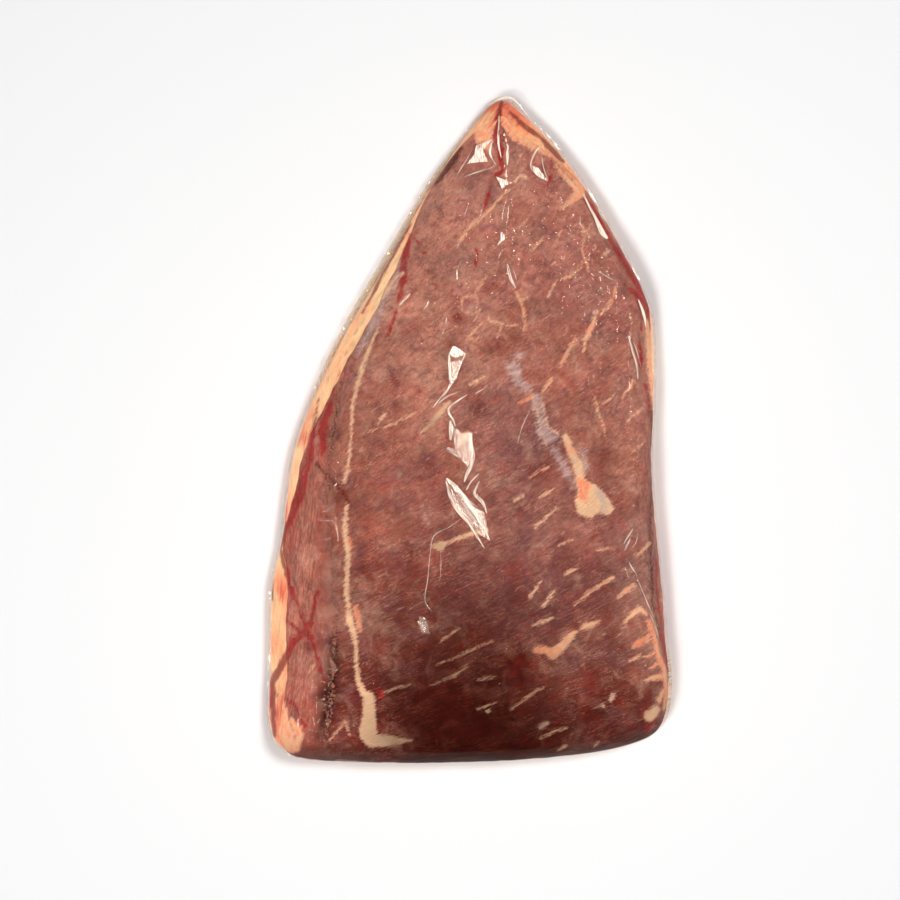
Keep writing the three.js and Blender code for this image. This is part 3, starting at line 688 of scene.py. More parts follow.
leanForm = {
    "columns": 212, "rows": 368, "sideRings": 9, "inset": 3.0, "edgeBand": 1.2, "aboveFat": 1.2,
    "raggedEdge": 0.5, "edgeWaves": ((19, 0, 0.5), (43, 0.7, 0.35), (97, 1.7, 0.2)),
    "seamRings": ((0.4, 0.8), (2, 4), (8, 14), (20, 30)),  # in from the edge, and down
    "swellRise": 0.35, "swellCell": 17, "bundleRise": 0.16, "bundleCell": (11, 2.2, 6), "seamRise": 0.22,
}
leanFloor = packForm["fatThickness"] + leanForm["aboveFat"]


# where the lean's top patch ends and its side begins, at least a band above the fat
def leanInset(along):
    return np.maximum(leanForm["inset"], fatReach(along) + leanForm["edgeBand"])


def leanEdge(along):
    reach = fatReach(along)
    ragged = leanForm["raggedEdge"] * waves(along * 2 * pi, leanForm["edgeWaves"]) * smoothStep(1, 3, reach)
    return np.maximum(reach + ragged, 0.01)


def seamRing(distance, depth):
    def place(along):
        plan = inFromWall(along, leanEdge(along) + distance)
        top = topHeight(inFromWall(along, leanEdge(along)))
        return np.column_stack([plan, np.maximum(top - depth, leanFloor)])
    return place


grainForm = {
    "curve": (1.12, -0.00325, 0.0000067), "across": 0.67, "along": 1.45, "flankSlant": 0.12,
    # the flank lies left of the furrow, between two distances along the pack
    "flankEdge": (-3, 5), "flankTop": (70, 30), "flankFoot": (-136, -120),
    "flankWander": ((0.31, 0, 1.5), (0.83, 1, 1.0)),
}


# Coordinates along and across the muscle fibres, in millimetres. The fibres run from lower left to
# upper right, steeper towards the point, and nearly straight up the flank.
def grainAt(places):
    x, y = places[:, 0], places[:, 1]
    first, second, third = grainForm["curve"]
    acrossFibres = (x - (first * y + second * y ** 2 + third * y ** 3)) * grainForm["across"]
    flank = flankMask(places)
    across = acrossFibres * (1 - flank) + (x - grainForm["flankSlant"] * y) * flank
    along = y * grainForm["along"] * (1 - flank) + y * flank
    return np.column_stack([along, across, places[:, 2]])


def flankMask(places):
    y = places[:, 1]
    furrow = np.array(packForm["relief"][0][3], float)
    leftOf = np.interp(y, furrow[::-1, 1], furrow[::-1, 0]) - places[:, 0]
    return (smoothStep(*grainForm["flankEdge"], leftOf + waves(y, grainForm["flankWander"]))
            * smoothStep(*grainForm["flankTop"], y) * smoothStep(*grainForm["flankFoot"], y))


def paintMeat(piece):
    places = readVerts(piece)
    plan = places[:, :2]
    fat, tone = strokeDepth(plan, drawn["fat"])
    writeAttribute(piece, "fat", fat)
    writeAttribute(piece, "fatTone", tone)
    for name, margin in (("silver", 4), ("juice", 4), ("clotAndShade", 8), ("froth", 4)):
        writeAttribute(piece, name, strokeDepth(plan, drawn[name], margin)[0])
    for name, patches in tonePatches.items():
        writeAttribute(piece, name, patchStrength(plan, patches))
    writeAttribute(piece, "flank", flankMask(places))
    writeAttribute(piece, "grain", grainAt(places))
    return fat


def makeLean():
    edge = sideRings(leanForm["sideRings"], leanInset, leanEdge)
    under = [seamRing(*ring) for ring in leanForm["seamRings"]]
    piece = makeSkin("leanMuscle", leanForm["columns"], leanForm["rows"],
                     lambda along: inFromWall(along, leanInset(along)), topHeight, edge + under,
                     (*middle, leanFloor))
    places, normals = readVerts(piece), readVerts(piece, "normal")
    fat = paintMeat(piece)
    rise = (leanForm["swellRise"] * softNoise(places, leanForm["swellCell"], 1)
            + leanForm["bundleRise"] * softNoise(grainAt(places), leanForm["bundleCell"], 2)
            + leanForm["seamRise"] * smoothStep(-0.6, 0.8, fat))
    writeVerts(piece, places + normals * rise[:, None])
    intoFrame(piece)
    return piece


fatForm = {
    "columns": 185, "rows": 330, "sideRings": 10, "underLean": 1.6, "underRings": 8,
    "dishRings": (0.06, 0.4),  # shares of the way from under the lean's edge to the middle
    "tuck": 0.45,  # how far the fat lies under the lean's edge, so that no gap shows
    "swellRise": 0.3, "swellCell": 13, "lobuleRise": 0.12, "lobuleCell": 3,
    "underGap": 0.25, "underSink": 0.5, "underCell": (22, 15, 9),
}


def fatTopEdge(along):
    return leanEdge(along) + fatForm["underLean"]


def dishRing(share):
    def place(along):
        distance = fatTopEdge(along) + (onRim("reach", along) - fatTopEdge(along)) * share
        return np.column_stack([inFromWall(along, distance), np.full(len(along), packForm["fatThickness"])])
    return place


def makeFat():
    def tucked(ring):
        return lambda along: ring(along) - (0, 0, fatForm["tuck"])

    wall = sideRings(fatForm["sideRings"], atWall, leanEdge)
    dish = ([tucked(ring) for ring in sideRings(2, leanEdge, fatTopEdge)]
            + [dishRing(share) for share in fatForm["dishRings"]])
    piece = makeSkin("fatCap", fatForm["columns"], fatForm["rows"], flatCurve, flatHeight,
                     underRings(fatForm["underRings"]) + wall + dish, (*middle, packForm["fatThickness"]))
    places, normals = readVerts(piece), readVerts(piece, "normal")
    paintMeat(piece)
    rise = (fatForm["swellRise"] * softNoise(places, fatForm["swellCell"], 4)
            + fatForm["lobuleRise"] * softNoise(places, fatForm["lobuleCell"], 5)
            - fatForm["swellRise"] - fatForm["lobuleRise"]) * 0.5
    flat = smoothStep(0.8, 0, places[:, 2])
    rise = rise * (1 - flat)
    places = places + normals * rise[:, None]
    hollows = 0.5 + 0.5 * softNoise(places, fatForm["underCell"], 6)
    places[:, 2] += flat * (fatForm["underGap"] + fatForm["underSink"] * hollows)
    writeVerts(piece, places)
    intoFrame(piece)
    return piece


filmForm = {
    "columns": 212, "rows": 358, "underColumns": 130, "underRows": 230, "sideRings": 12, "underRings": 8,
    "inset": 3.0, "gap": 0.28, "leastGap": 0.12, "pleatRise": 0.22, "pleatCell": (3.2, 19, 8),
    "rippleRise": 0.10, "rippleCell": (9, 2.6, 5), "swellRise": 0.15, "swellCell": 9,
    "underGap": 0.2, "underRise": 0.4, "underCell": (4, 14, 6),
    "finRings": (0.3, 0.65, 1), "finSheetGap": 0.12, "finWave": 0.5, "finWaveWidth": 2.6,
    "finWaves": ((23, 0, 1), (61, 2, 0.6), (140, 0, 0.3)),
    "finMilk": 0.07, "wideFinMilk": 0.26, "wideFin": (0.9, 1.5),
    # where the film clings with no air under it and glints less: pixel, radius in pixels, strength
    "calm": [(629, 306, 9, 0.9), (630, 326, 9, 0.9), (629, 350, 10, 0.9), (628, 375, 10, 0.9),
             (627, 400, 12, 0.9), (600, 345, 36, 0.85), (590, 300, 28, 0.8), (512, 205, 20, 0.7),
             (550, 250, 30, 0.7), (545, 185, 18, 0.7), (475, 205, 24, 0.6)],
}


# the film's free edge waves up and down a little
def finHeight(along, width):
    wave = waves(along * 2 * pi, filmForm["finWaves"])
    return rimHeight + filmForm["finWave"] * width / filmForm["finWaveWidth"] * wave


# milkier where the free edge is wide
def finHaze(places):
    wide = smoothStep(*filmForm["wideFin"], onRim("fin", lookUp(places[:, :2])[0]))
    return filmForm["finMilk"] + filmForm["wideFinMilk"] * wide


# rings out over the free edge, where side is 1 for the upper sheet and -1 for the lower
def finRings(side):
    def ring(share):
        def place(along):
            width = onRim("fin", along) + packForm["layerGap"]
            plan = onRim("wall", along) + onRim("outward", along) * (width * share)[:, None]
            apart = side * filmForm["finSheetGap"] * (1 - share)
            return np.column_stack([plan, finHeight(along, width * share) + apart])
        return place
    return [ring(share) for share in filmForm["finRings"]]


def wrinkleFilm(places):
    pleats = softNoise(places, filmForm["pleatCell"], 11)
    pleats = (1 - np.abs(pleats)) ** 3  # thin crests with wide hollows between
    nearPoint = smoothStep(20, 90, places[:, 1])
    rise = (filmForm["gap"] + filmForm["pleatRise"] * pleats * (0.25 + 0.75 * nearPoint)
            + filmForm["rippleRise"] * softNoise(grainAt(places), filmForm["rippleCell"], 12)
            + filmForm["swellRise"] * softNoise(places, filmForm["swellCell"], 13))
    return np.maximum(rise, filmForm["leastGap"])


def makeFilmTop():
    def inset(along):
        return np.full(len(along), filmForm["inset"])

    rings = sideRings(filmForm["sideRings"], inset, atWall, True) + finRings(1)
    piece = makeSkin("filmTop", filmForm["columns"], filmForm["rows"],
                     lambda along: inFromWall(along, inset(along)),
                     lambda plan: topHeight(plan, True), rings)
    places, normals = readVerts(piece), readVerts(piece, "normal")
    onFin = smoothStep(0.4, 0.1, places[:, 2] - rimHeight)
    rise = wrinkleFilm(places) * (1 - onFin)
    writeAttribute(piece, "hazeAndHighlight", onFin * finHaze(places))
    writeAttribute(piece, "calm", patchStrength(places[:, :2], filmForm["calm"]))
    writeAttribute(piece, "grain", grainAt(places))
    writeVerts(piece, places + normals * rise[:, None])
    intoFrame(piece)
    return piece


def makeFilmUnder():
    piece = makeSkin("filmUnder", filmForm["underColumns"], filmForm["underRows"], flatCurve, flatHeight,
                     underRings(filmForm["underRings"]) + finRings(-1))
    places, normals = readVerts(piece), readVerts(piece, "normal")
    onFin = smoothStep(-1.2, -0.2, places[:, 2] - rimHeight)
    wrinkles = np.maximum(softNoise(places, filmForm["underCell"], 15), 0) * filmForm["underRise"]
    flat = smoothStep(0.8, 0, places[:, 2])
    moved = places + normals * ((filmForm["underGap"] + wrinkles) * (1 - onFin) * (1 - flat))[:, None]
    moved[:, 2] = np.maximum(moved[:, 2] + flat * wrinkles * 0.3, 0)
    writeAttribute(piece, "hazeAndHighlight", onFin * finHaze(places))
    writeAttribute(piece, "grain", grainAt(places))
    writeVerts(piece, moved)
    intoFrame(piece)
    return piece


# The film's sharp creases and small flat facets, which catch the lamps. Each is a narrow strip
# tilted towards the lamp on the right, with its high side dropping back to the sheet. Their milky
# white is partly crease whitening and partly painted highlight.
foldForm = {
    "step": 0.5, "across": 6, "tilt": 0.32, "towards": 36, "lift": 0.102, "facetLift": 0.35,
    "leastWidth": 0.08, "fullMilkAndHighlightWidth": 0.3, "milkAndHighlightGain": 1.35, "grainAlong": 0.8, "grainAcross": 3.2,
    "facetGrain": 2.4,
}
towardsLamp = np.array([np.cos(radians(foldForm["towards"])), np.sin(radians(foldForm["towards"]))])

foldLines = {  # milkiness, partly painted highlight, then pixels of the photograph with half-widths
    "pointPleat": (0.45, [(499, 115, 0.7), (498.6, 130, 1.1), (498.6, 145, 1.4), (501.5, 159, 0.4)]),
    "starRight": (0.5, [(493.5, 139, 0.5), (490, 149, 1.2), (491, 157, 1.1), (496, 165, 0.7)]),
    "starFoot": (0.45, [(496, 166, 0.4), (484, 170, 0.8), (472, 174, 0.7), (453, 181, 0.3)]),
    "starLeft": (0.45, [(473, 148, 0.3), (465, 162, 0.7), (453, 181, 0.3)]),
    "bar": (0.55, [(508, 145, 0.8), (507.5, 155, 1.8), (507, 166, 0.5)]),
    "loopOuter": (0.45, [(543, 145, 0.4), (536, 151, 1.0), (531, 163, 1.0), (532, 170, 0.7),
                         (538, 176, 0.7), (548.5, 182, 0.3)]),
    "loopInner": (0.45, [(541.7, 152, 0.3), (543, 166, 0.7), (548.5, 182, 0.3)]),
    "point1": (0.35, [(469, 200, 0.3), (467, 208, 0.6), (464, 217, 0.3)]),
    "point2": (0.35, [(482, 206, 0.3), (481, 212, 0.6), (481, 217, 0.3)]),
    "point3": (0.4, [(509.5, 202, 0.3), (508, 215, 0.7), (506, 228, 0.3)]),
    "point4": (0.35, [(506, 200, 0.3), (503, 212, 0.6), (501.5, 221, 0.3)]),
    "point5": (0.35, [(581, 212, 0.3), (580, 220, 0.6), (579, 228, 0.3)]),
    "point6": (0.4, [(502.6, 249, 0.3), (500, 255, 0.7), (498, 260, 0.3)]),
    "rimWedge": (0.95, [(582, 191, 0.6), (588, 204, 1.3), (595, 217, 1.7), (602, 232, 3.4),
                        (608, 239, 1.2)]),
    "rimWedge2": (0.5, [(594, 202, 0.4), (602, 217, 1.1), (606, 223, 0.5)]),
    "rimThread": (0.45, [(594, 268, 0.3), (606, 276, 0.6), (618, 283, 0.3)]),
    "rimBlade": (0.9, [(638, 299, 0.6), (643, 312, 1.9), (645, 320, 1.6), (646.5, 328, 0.5)]),
    "rimPair1": (0.5, [(627.4, 334, 0.4), (632, 349, 1.2), (636.6, 366, 1.2), (638, 380, 0.4)]),
    "rimPair2": (0.4, [(632, 338, 0.3), (637, 352, 0.7), (641, 368, 0.4)]),
    "dropSide": (0.5, [(507, 263, 0.4), (508.5, 270, 1.7), (511, 279, 1.8), (514, 285, 1.1),
                       (516, 289, 0.4)]),
    "dropInner": (0.4, [(512, 267, 0.3), (515, 275, 0.6), (517, 283, 0.3)]),
    "crease1": (0.5, [(411, 293, 0.4), (406, 298, 1.5), (399, 306, 0.4)]),
    "crease2": (0.45, [(429, 300, 0.4), (427, 305, 1.0), (423, 310, 0.3)]),
    "middle1": (0.45, [(457, 268, 0.4), (457, 275, 0.9), (457, 282, 0.3)]),
    "middle2": (0.4, [(461, 259, 0.3), (458.5, 268, 0.5)]),
    "middle3": (0.4, [(446, 315, 0.3), (446.5, 320, 0.8), (445, 325, 0.3)]),
    "middle4": (0.45, [(444.5, 328, 0.4), (442, 335, 0.8)]),
    "hook1": (0.55, [(449, 354, 1.0), (449.5, 362, 1.7), (450, 372, 2.0), (451, 384, 1.3)]),
    "hook2": (0.45, [(465, 354, 0.7), (460, 366, 0.9), (456, 377, 0.6)]),
    "hook3": (0.5, [(451, 384, 1.0), (446, 392, 1.1), (438, 401, 0.9), (432, 409, 0.3)]),
    "hook4": (0.45, [(458.5, 392, 0.4), (447, 396.6, 1.0), (437, 404.6, 0.3)]),
    "dash": (0.4, [(486, 387.5, 0.3), (480, 391, 0.8), (474, 394, 0.3)]),
    "bend": (0.5, [(468, 394, 0.4), (452, 405, 1.2), (448.5, 412, 1.4), (453, 420, 1.1),
                   (456, 427, 0.5)]),
    "block": (0.5, [(450.5, 420, 1.2), (450.8, 430, 2.5), (450.5, 441, 1.2)]),
    "soft": (0.3, [(446, 448, 2.0), (454, 452, 3.5), (462, 457, 2.0)]),
    "stripe": (0.5, [(472, 432, 0.8), (470.5, 443, 2.4), (473, 454, 2.0), (471.5, 464, 2.3),
                     (466.6, 475, 1.9), (464, 483, 0.6)]),
    "stripe2": (0.45, [(480, 473, 0.4), (471, 481.5, 1.1), (466, 491, 0.6)]),
    "stripe3": (0.45, [(480, 480, 0.4), (474.6, 493, 2.0), (483, 503, 1.9), (487, 514, 0.5)]),
    "armRight": (0.6, [(446, 478, 0.9), (454, 485, 2.0), (461, 493, 2.4), (474.6, 512.5, 2.6),
                       (483, 527, 2.0), (490, 541, 0.5)]),
    "armLeft": (0.5, [(446, 480, 0.7), (449, 492, 1.8), (455, 506.8, 2.0), (469, 524, 1.6),
                      (478, 538, 1.1), (485, 549, 0.3)]),
    "arm2": (0.35, [(450, 494, 0.3), (459, 508, 0.8), (470, 520, 0.8), (480, 536, 0.3)]),
    "arm3": (0.35, [(457, 494, 0.3), (466, 508, 0.9), (476, 522, 1.0), (485, 538, 0.4)]),
    "arm4": (0.3, [(468, 498, 0.3), (477, 508, 0.6), (483, 518, 0.3)]),
    "wide1": (0.35, [(462, 518, 0.3), (449, 527, 0.5), (434, 536, 0.6), (430, 555, 0.5),
                     (427.6, 580, 0.6), (425, 600, 0.6), (432, 612, 0.3)]),
    "wide2": (0.3, [(440, 550, 0.3), (441, 563, 0.5), (440, 580, 0.3)]),
    "wide3": (0.4, [(530, 410, 0.3), (522, 427, 0.6), (517, 445, 0.3)]),
    "softLow": (0.25, [(418, 620, 1.5), (424, 630, 3.5)]),
    "lower1": (0.4, [(636, 575, 0.3), (646, 600, 0.6), (659, 630, 0.3)]),
    "lower2": (0.35, [(649, 612, 0.3), (655, 626, 1.1), (660, 642, 0.3)]),
    "sheen1": (0.3, [(634, 527, 0.3), (628, 536, 1.2), (623, 545, 0.3)]),
    "sheen2": (0.3, [(631, 537, 0.3), (627, 545, 1.3), (624, 552, 0.3)]),
    "sheen3": (0.25, [(638, 532, 0.3), (636, 542, 0.7), (631, 549, 0.3)]),
    "sheen4": (0.3, [(628, 560, 0.3), (632, 568, 1.0), (638, 576, 0.3)]),
    "sheen5": (0.25, [(624, 566, 0.3), (627, 573, 0.6), (629, 580, 0.3)]),
    "tipEdge": (0.5, [(488, 107, 0.4), (500, 99, 1.4), (512, 98.5, 1.4), (521, 107, 0.9),
                      (529, 118, 0.3)]),
}

foldFacets = {  # milkiness, partly painted highlight, and corners
    "star": (0.6, [(493, 139), (484, 146), (483, 151), (488, 162), (478, 163), (467, 165), (474, 156),
                   (476, 147)]),
    "loop": (0.6, [(532, 166), (538, 168), (548, 181), (540, 178), (534, 173)]),
    "triangle": (0.6, [(496, 177), (512, 183), (504, 186), (502, 189)]),
    "drop": (0.65, [(501, 232), (504.5, 235), (505, 239), (497, 246), (500, 240)]),
    "quad": (0.6, [(453, 346), (458, 348), (466, 354), (460, 356), (455, 358), (449, 354)]),
    "foot": (0.3, [(470, 505), (484, 512), (489, 534), (480, 524)]),
    "blockSheet": (0.16, [(451, 424), (462, 434), (472, 432), (474, 452), (467, 468), (454, 446)]),
    "hookSheet": (0.16, [(451, 362), (462, 360), (457, 378), (446, 394), (450, 380)]),
    "armSheet": (0.14, [(447, 480), (458, 488), (476, 512), (489, 541), (478, 532), (458, 510)]),
    "lowSheet": (0.12, [(419, 616), (426, 618), (430, 634), (422, 632)]),
}


def foldPlace(plan, height):
    return np.column_stack([plan, topHeight(plan, True) + filmForm["gap"] + height])


def addFoldLine(bm, milkAndHighlight, path):
    path = pathOnPack(path)
    gaps = np.concatenate([[0], np.cumsum(np.linalg.norm(np.diff(path[:, :2], axis=0), axis=1))])
    count = max(6, int(gaps[-1] / foldForm["step"]))
    at = np.linspace(0, gaps[-1], count)
    smooth = closedCurve(np.vstack([path, path[::-1]]), 40)[:40 * (len(path) - 1)]
    smoothGaps = np.concatenate([[0], np.cumsum(np.linalg.norm(np.diff(smooth[:, :2], axis=0), axis=1))])
    middleLine = np.stack([np.interp(at * smoothGaps[-1] / gaps[-1], smoothGaps, v) for v in smooth.T], 1)
    ahead = np.gradient(middleLine[:, :2], axis=0)
    side = np.stack([ahead[:, 1], -ahead[:, 0]], 1) / np.linalg.norm(ahead, axis=1)[:, None]
    if (side @ towardsLamp).mean() < 0:
        side = -side
    made = bmesh.ops.create_grid(bm, x_segments=foldForm["across"], y_segments=count - 1, size=1)["verts"]
    hazeAndHighlight, grain = bm.verts.layers.float["hazeAndHighlight"], bm.verts.layers.float_vector["grain"]
    flat = np.array([v.co.xy for v in made])
    over, index = flat[:, 0], np.round((flat[:, 1] + 1) / 2 * (count - 1)).astype(int)
    width = np.maximum(middleLine[index, 2], foldForm["leastWidth"])
    edge = (np.abs(over) > 0.99) | (index == 0) | (index == count - 1)
    plan = middleLine[index, :2] + side[index] * (over * width)[:, None]
    rise = foldForm["lift"] + foldForm["tilt"] * width * (1 - over)
    places = foldPlace(plan, np.where(edge, 0, rise))
    milkAndHighlightShare = milkAndHighlight * foldForm["milkAndHighlightGain"] * np.minimum(1, width / foldForm["fullMilkAndHighlightWidth"])
    milkAndHighlightShare = np.where(edge, 0, milkAndHighlightShare)
    grains = np.column_stack([at[index] * foldForm["grainAlong"] + path[0, 0],
                              over * width * foldForm["grainAcross"] + path[0, 1], 0 * over])
    for vert, place, value, across in zip(made, places, milkAndHighlightShare, grains):
        vert.co, vert[hazeAndHighlight], vert[grain] = place, value, across


def addFacet(bm, milkAndHighlight, corners):
    made = bmesh.ops.create_circle(bm, cap_ends=True, cap_tris=True, segments=len(corners),
                                   radius=1)["verts"]
    hazeAndHighlight, grain = bm.verts.layers.float["hazeAndHighlight"], bm.verts.layers.float_vector["grain"]
    places = pathOnPack(corners)
    centre = places.mean(0)
    away = -(places - centre) @ towardsLamp * foldForm["tilt"]
    base = foldPlace(centre[None], 0)[0, 2] + foldForm["facetLift"]
    made.sort(key=lambda v: (v.co.xy.length < 0.1, np.arctan2(v.co.y, v.co.x)))
    if np.cross(places[1] - places[0], places[2] - places[1]) < 0:
        places, away = places[::-1], away[::-1]
    for vert, place, rise in zip(made, places, away):
        vert.co = (*place, base + rise - away.min())
    made[-1].co = (*centre, base - away.min())
    for vert in made:
        vert[hazeAndHighlight] = milkAndHighlight * foldForm["milkAndHighlightGain"]
        vert[grain] = (vert.co.y, vert.co.x * foldForm["facetGrain"], 0)


def makeFolds():
    bm = bmesh.new()
    bm.verts.layers.float.new("hazeAndHighlight")
    bm.verts.layers.float_vector.new("grain")
    for milkAndHighlight, path in foldLines.values():
        addFoldLine(bm, milkAndHighlight, path)
    for milkAndHighlight, corners in foldFacets.values():
        addFacet(bm, milkAndHighlight, corners)
    bmesh.ops.recalc_face_normals(bm, faces=bm.faces)
    piece = toPiece("filmFolds", bm)
    intoFrame(piece)
    return piece


# bubbles of air caught in the furrow, between the film and the meat
bubbleForm = {"count": 170, "least": 0.22, "most": 0.75, "length": 1.3, "flat": 0.45}


def makeBubbles():
    chance = np.random.default_rng(21)
    path = pathOnPack(furrowPath)
    bm = bmesh.new()
    for _ in range(bubbleForm["count"]):
        at = chance.uniform(0, len(path) - 1.001)
        i, part = int(at), at % 1
        x, y, half = path[i] + (path[i + 1] - path[i]) * part
        if half < chance.uniform(0, 1.2):
            continue
        size = bubbleForm["least"] + (bubbleForm["most"] - bubbleForm["least"]) * chance.uniform() ** 3
        plan = np.array([[x + chance.normal(0, half * 0.5), y]])
        made = bmesh.ops.create_icosphere(bm, subdivisions=2, radius=size)["verts"]
        height = (topHeight(plan) + topHeight(plan, True))[0] / 2
        for vert in made:
            vert.co = (vert.co.x + plan[0, 0], vert.co.y * bubbleForm["length"] + y,
                       vert.co.z * bubbleForm["flat"] + height)
    for face in bm.faces:
        face.smooth = True
    piece = toPiece("purgeBubbles", bm)
    intoFrame(piece)
    return piece


# a material and its node tree, with the few kinds of node that they are all built from
class Shader:
    def __init__(self, name):
        self.material = bpy.data.materials.new(name)
        self.material.use_nodes = True
        self.tree = self.material.node_tree
        self.tree.nodes.clear()

    # settings are the node's own properties, inputs are values or sockets to link from
    def addNode(self, kind, inputs=None, stops=None, **settings):
        made = self.tree.nodes.new("ShaderNode" + kind)
        for name, value in settings.items():
            setattr(made, name, value)
        for name, value in (inputs or {}).items():
            if isinstance(value, bpy.types.NodeSocket):
                self.tree.links.new(value, made.inputs[name])
            else:
                made.inputs[name].default_value = value
        for i, (place, colour) in enumerate(stops or []):
            element = made.color_ramp.elements[i] if i < 2 else made.color_ramp.elements.new(place)
            element.position = place
            element.color = hexToLinear(colour)
        return made

    @cached_property
    def place(self):
        return self.addNode("TexCoord").outputs["Object"]

    @cached_property
    def grain(self):
        return self.addNode("Attribute", attribute_name="grain").outputs["Vector"]

    def attribute(self, name):
        return self.addNode("Attribute", attribute_name=name).outputs["Fac"]

    def math(self, operation, one, other=0.0, **settings):
        return self.addNode("Math", {0: one, 1: other}, operation=operation, **settings).outputs[0]

    def plus(self, one, other):
        return self.math("ADD", one, other)

    def times(self, one, other):
        return self.math("MULTIPLY", one, other)

    def ranged(self, value, low=0.0, high=1.0, start=0.0, end=1.0, ends="LINEAR"):
        return self.addNode("MapRange", {0: value, 1: low, 2: high, 3: start, 4: end},
                            interpolation_type=ends).outputs[0]

    def ramped(self, value, low, high, start=0.0, end=1.0):
        return self.ranged(value, low, high, start, end, "SMOOTHSTEP")

    def mixed(self, share, under, over, blend="MIX"):
        return self.addNode("Mix", {0: share, 6: under, 7: over}, data_type="RGBA",
                            blend_type=blend).outputs[2]

    def stretchedNoise(self, vector, sizes, detail, distortion=0.0, roughness=0.5):
        scaled = self.addNode("Mapping", {"Vector": vector, "Scale": [1 / size for size in sizes]})
        return self.addNode("TexNoise", {"Vector": scaled.outputs[0], "Scale": 1.0, "Detail": detail,
                                         "Roughness": roughness, "Distortion": distortion}).outputs["Fac"]

    # how long, how wide and how deep a bundle of fibres is, in millimetres
    def grainNoise(self, length, width, depth, detail, distortion=0.0, roughness=0.6):
        return self.stretchedNoise(self.grain, (length, width, depth), detail, distortion, roughness)

    # shift moves it in metres, so that noises of one size differ
    def evenNoise(self, size, detail, distortion=0.0, shift=0.0, roughness=0.62):
        moved = self.addNode("Mapping", {"Vector": self.place, "Location": (shift, shift, shift)})
        return self.addNode("TexNoise", {"Vector": moved.outputs[0], "Scale": 1 / (size * mm),
                                         "Detail": detail, "Roughness": roughness,
                                         "Distortion": distortion}).outputs["Fac"]

    # 0 where a noise crosses its middle, which draws crooked lines
    def offMiddle(self, noise):
        return self.math("ABSOLUTE", self.math("SUBTRACT", noise, 0.5))

    def bump(self, height, millimetres, strength):
        return self.addNode("Bump", {"Height": height, "Distance": millimetres * mm,
                                     "Strength": strength}).outputs[0]

    def finish(self, shader):
        self.addNode("OutputMaterial", {0: shader.outputs[0]})
        return self.material


# from the wide end to the point
beefAlongPack = [(0.0, "#531f16"), (0.14, "#5e2a21"), (0.3, "#6e3a2f"), (0.44, "#874f40"), (0.6, "#8e5748"),
                 (0.78, "#965e50"), (1.0, "#a26556")]

beefColours = {
    "flank": "#9c4f3f", "streakDark": "#6e2c29", "streakPale": "#b97864", "paleAndLit": "#bb8771",
    "mauve": "#6c4a4a", "dark": "#310805", "darker": "#7f5646", "redMeat": "#8a2c21", "tan": "#a47a68",
    "purple": "#673c3e", "fleck": "#c49279", "cream": "#cda480", "orange": "#d08c68",
    "stainedFat": "#c57252", "greyFat": "#b29887", "fatEdge": "#b6806a", "silver": "#ab918a",
    "red": "#5a1811", "crimson": "#841a1c", "crack": "#5e241b", "froth": "#a47563", "frothDark": "#34160f",
}


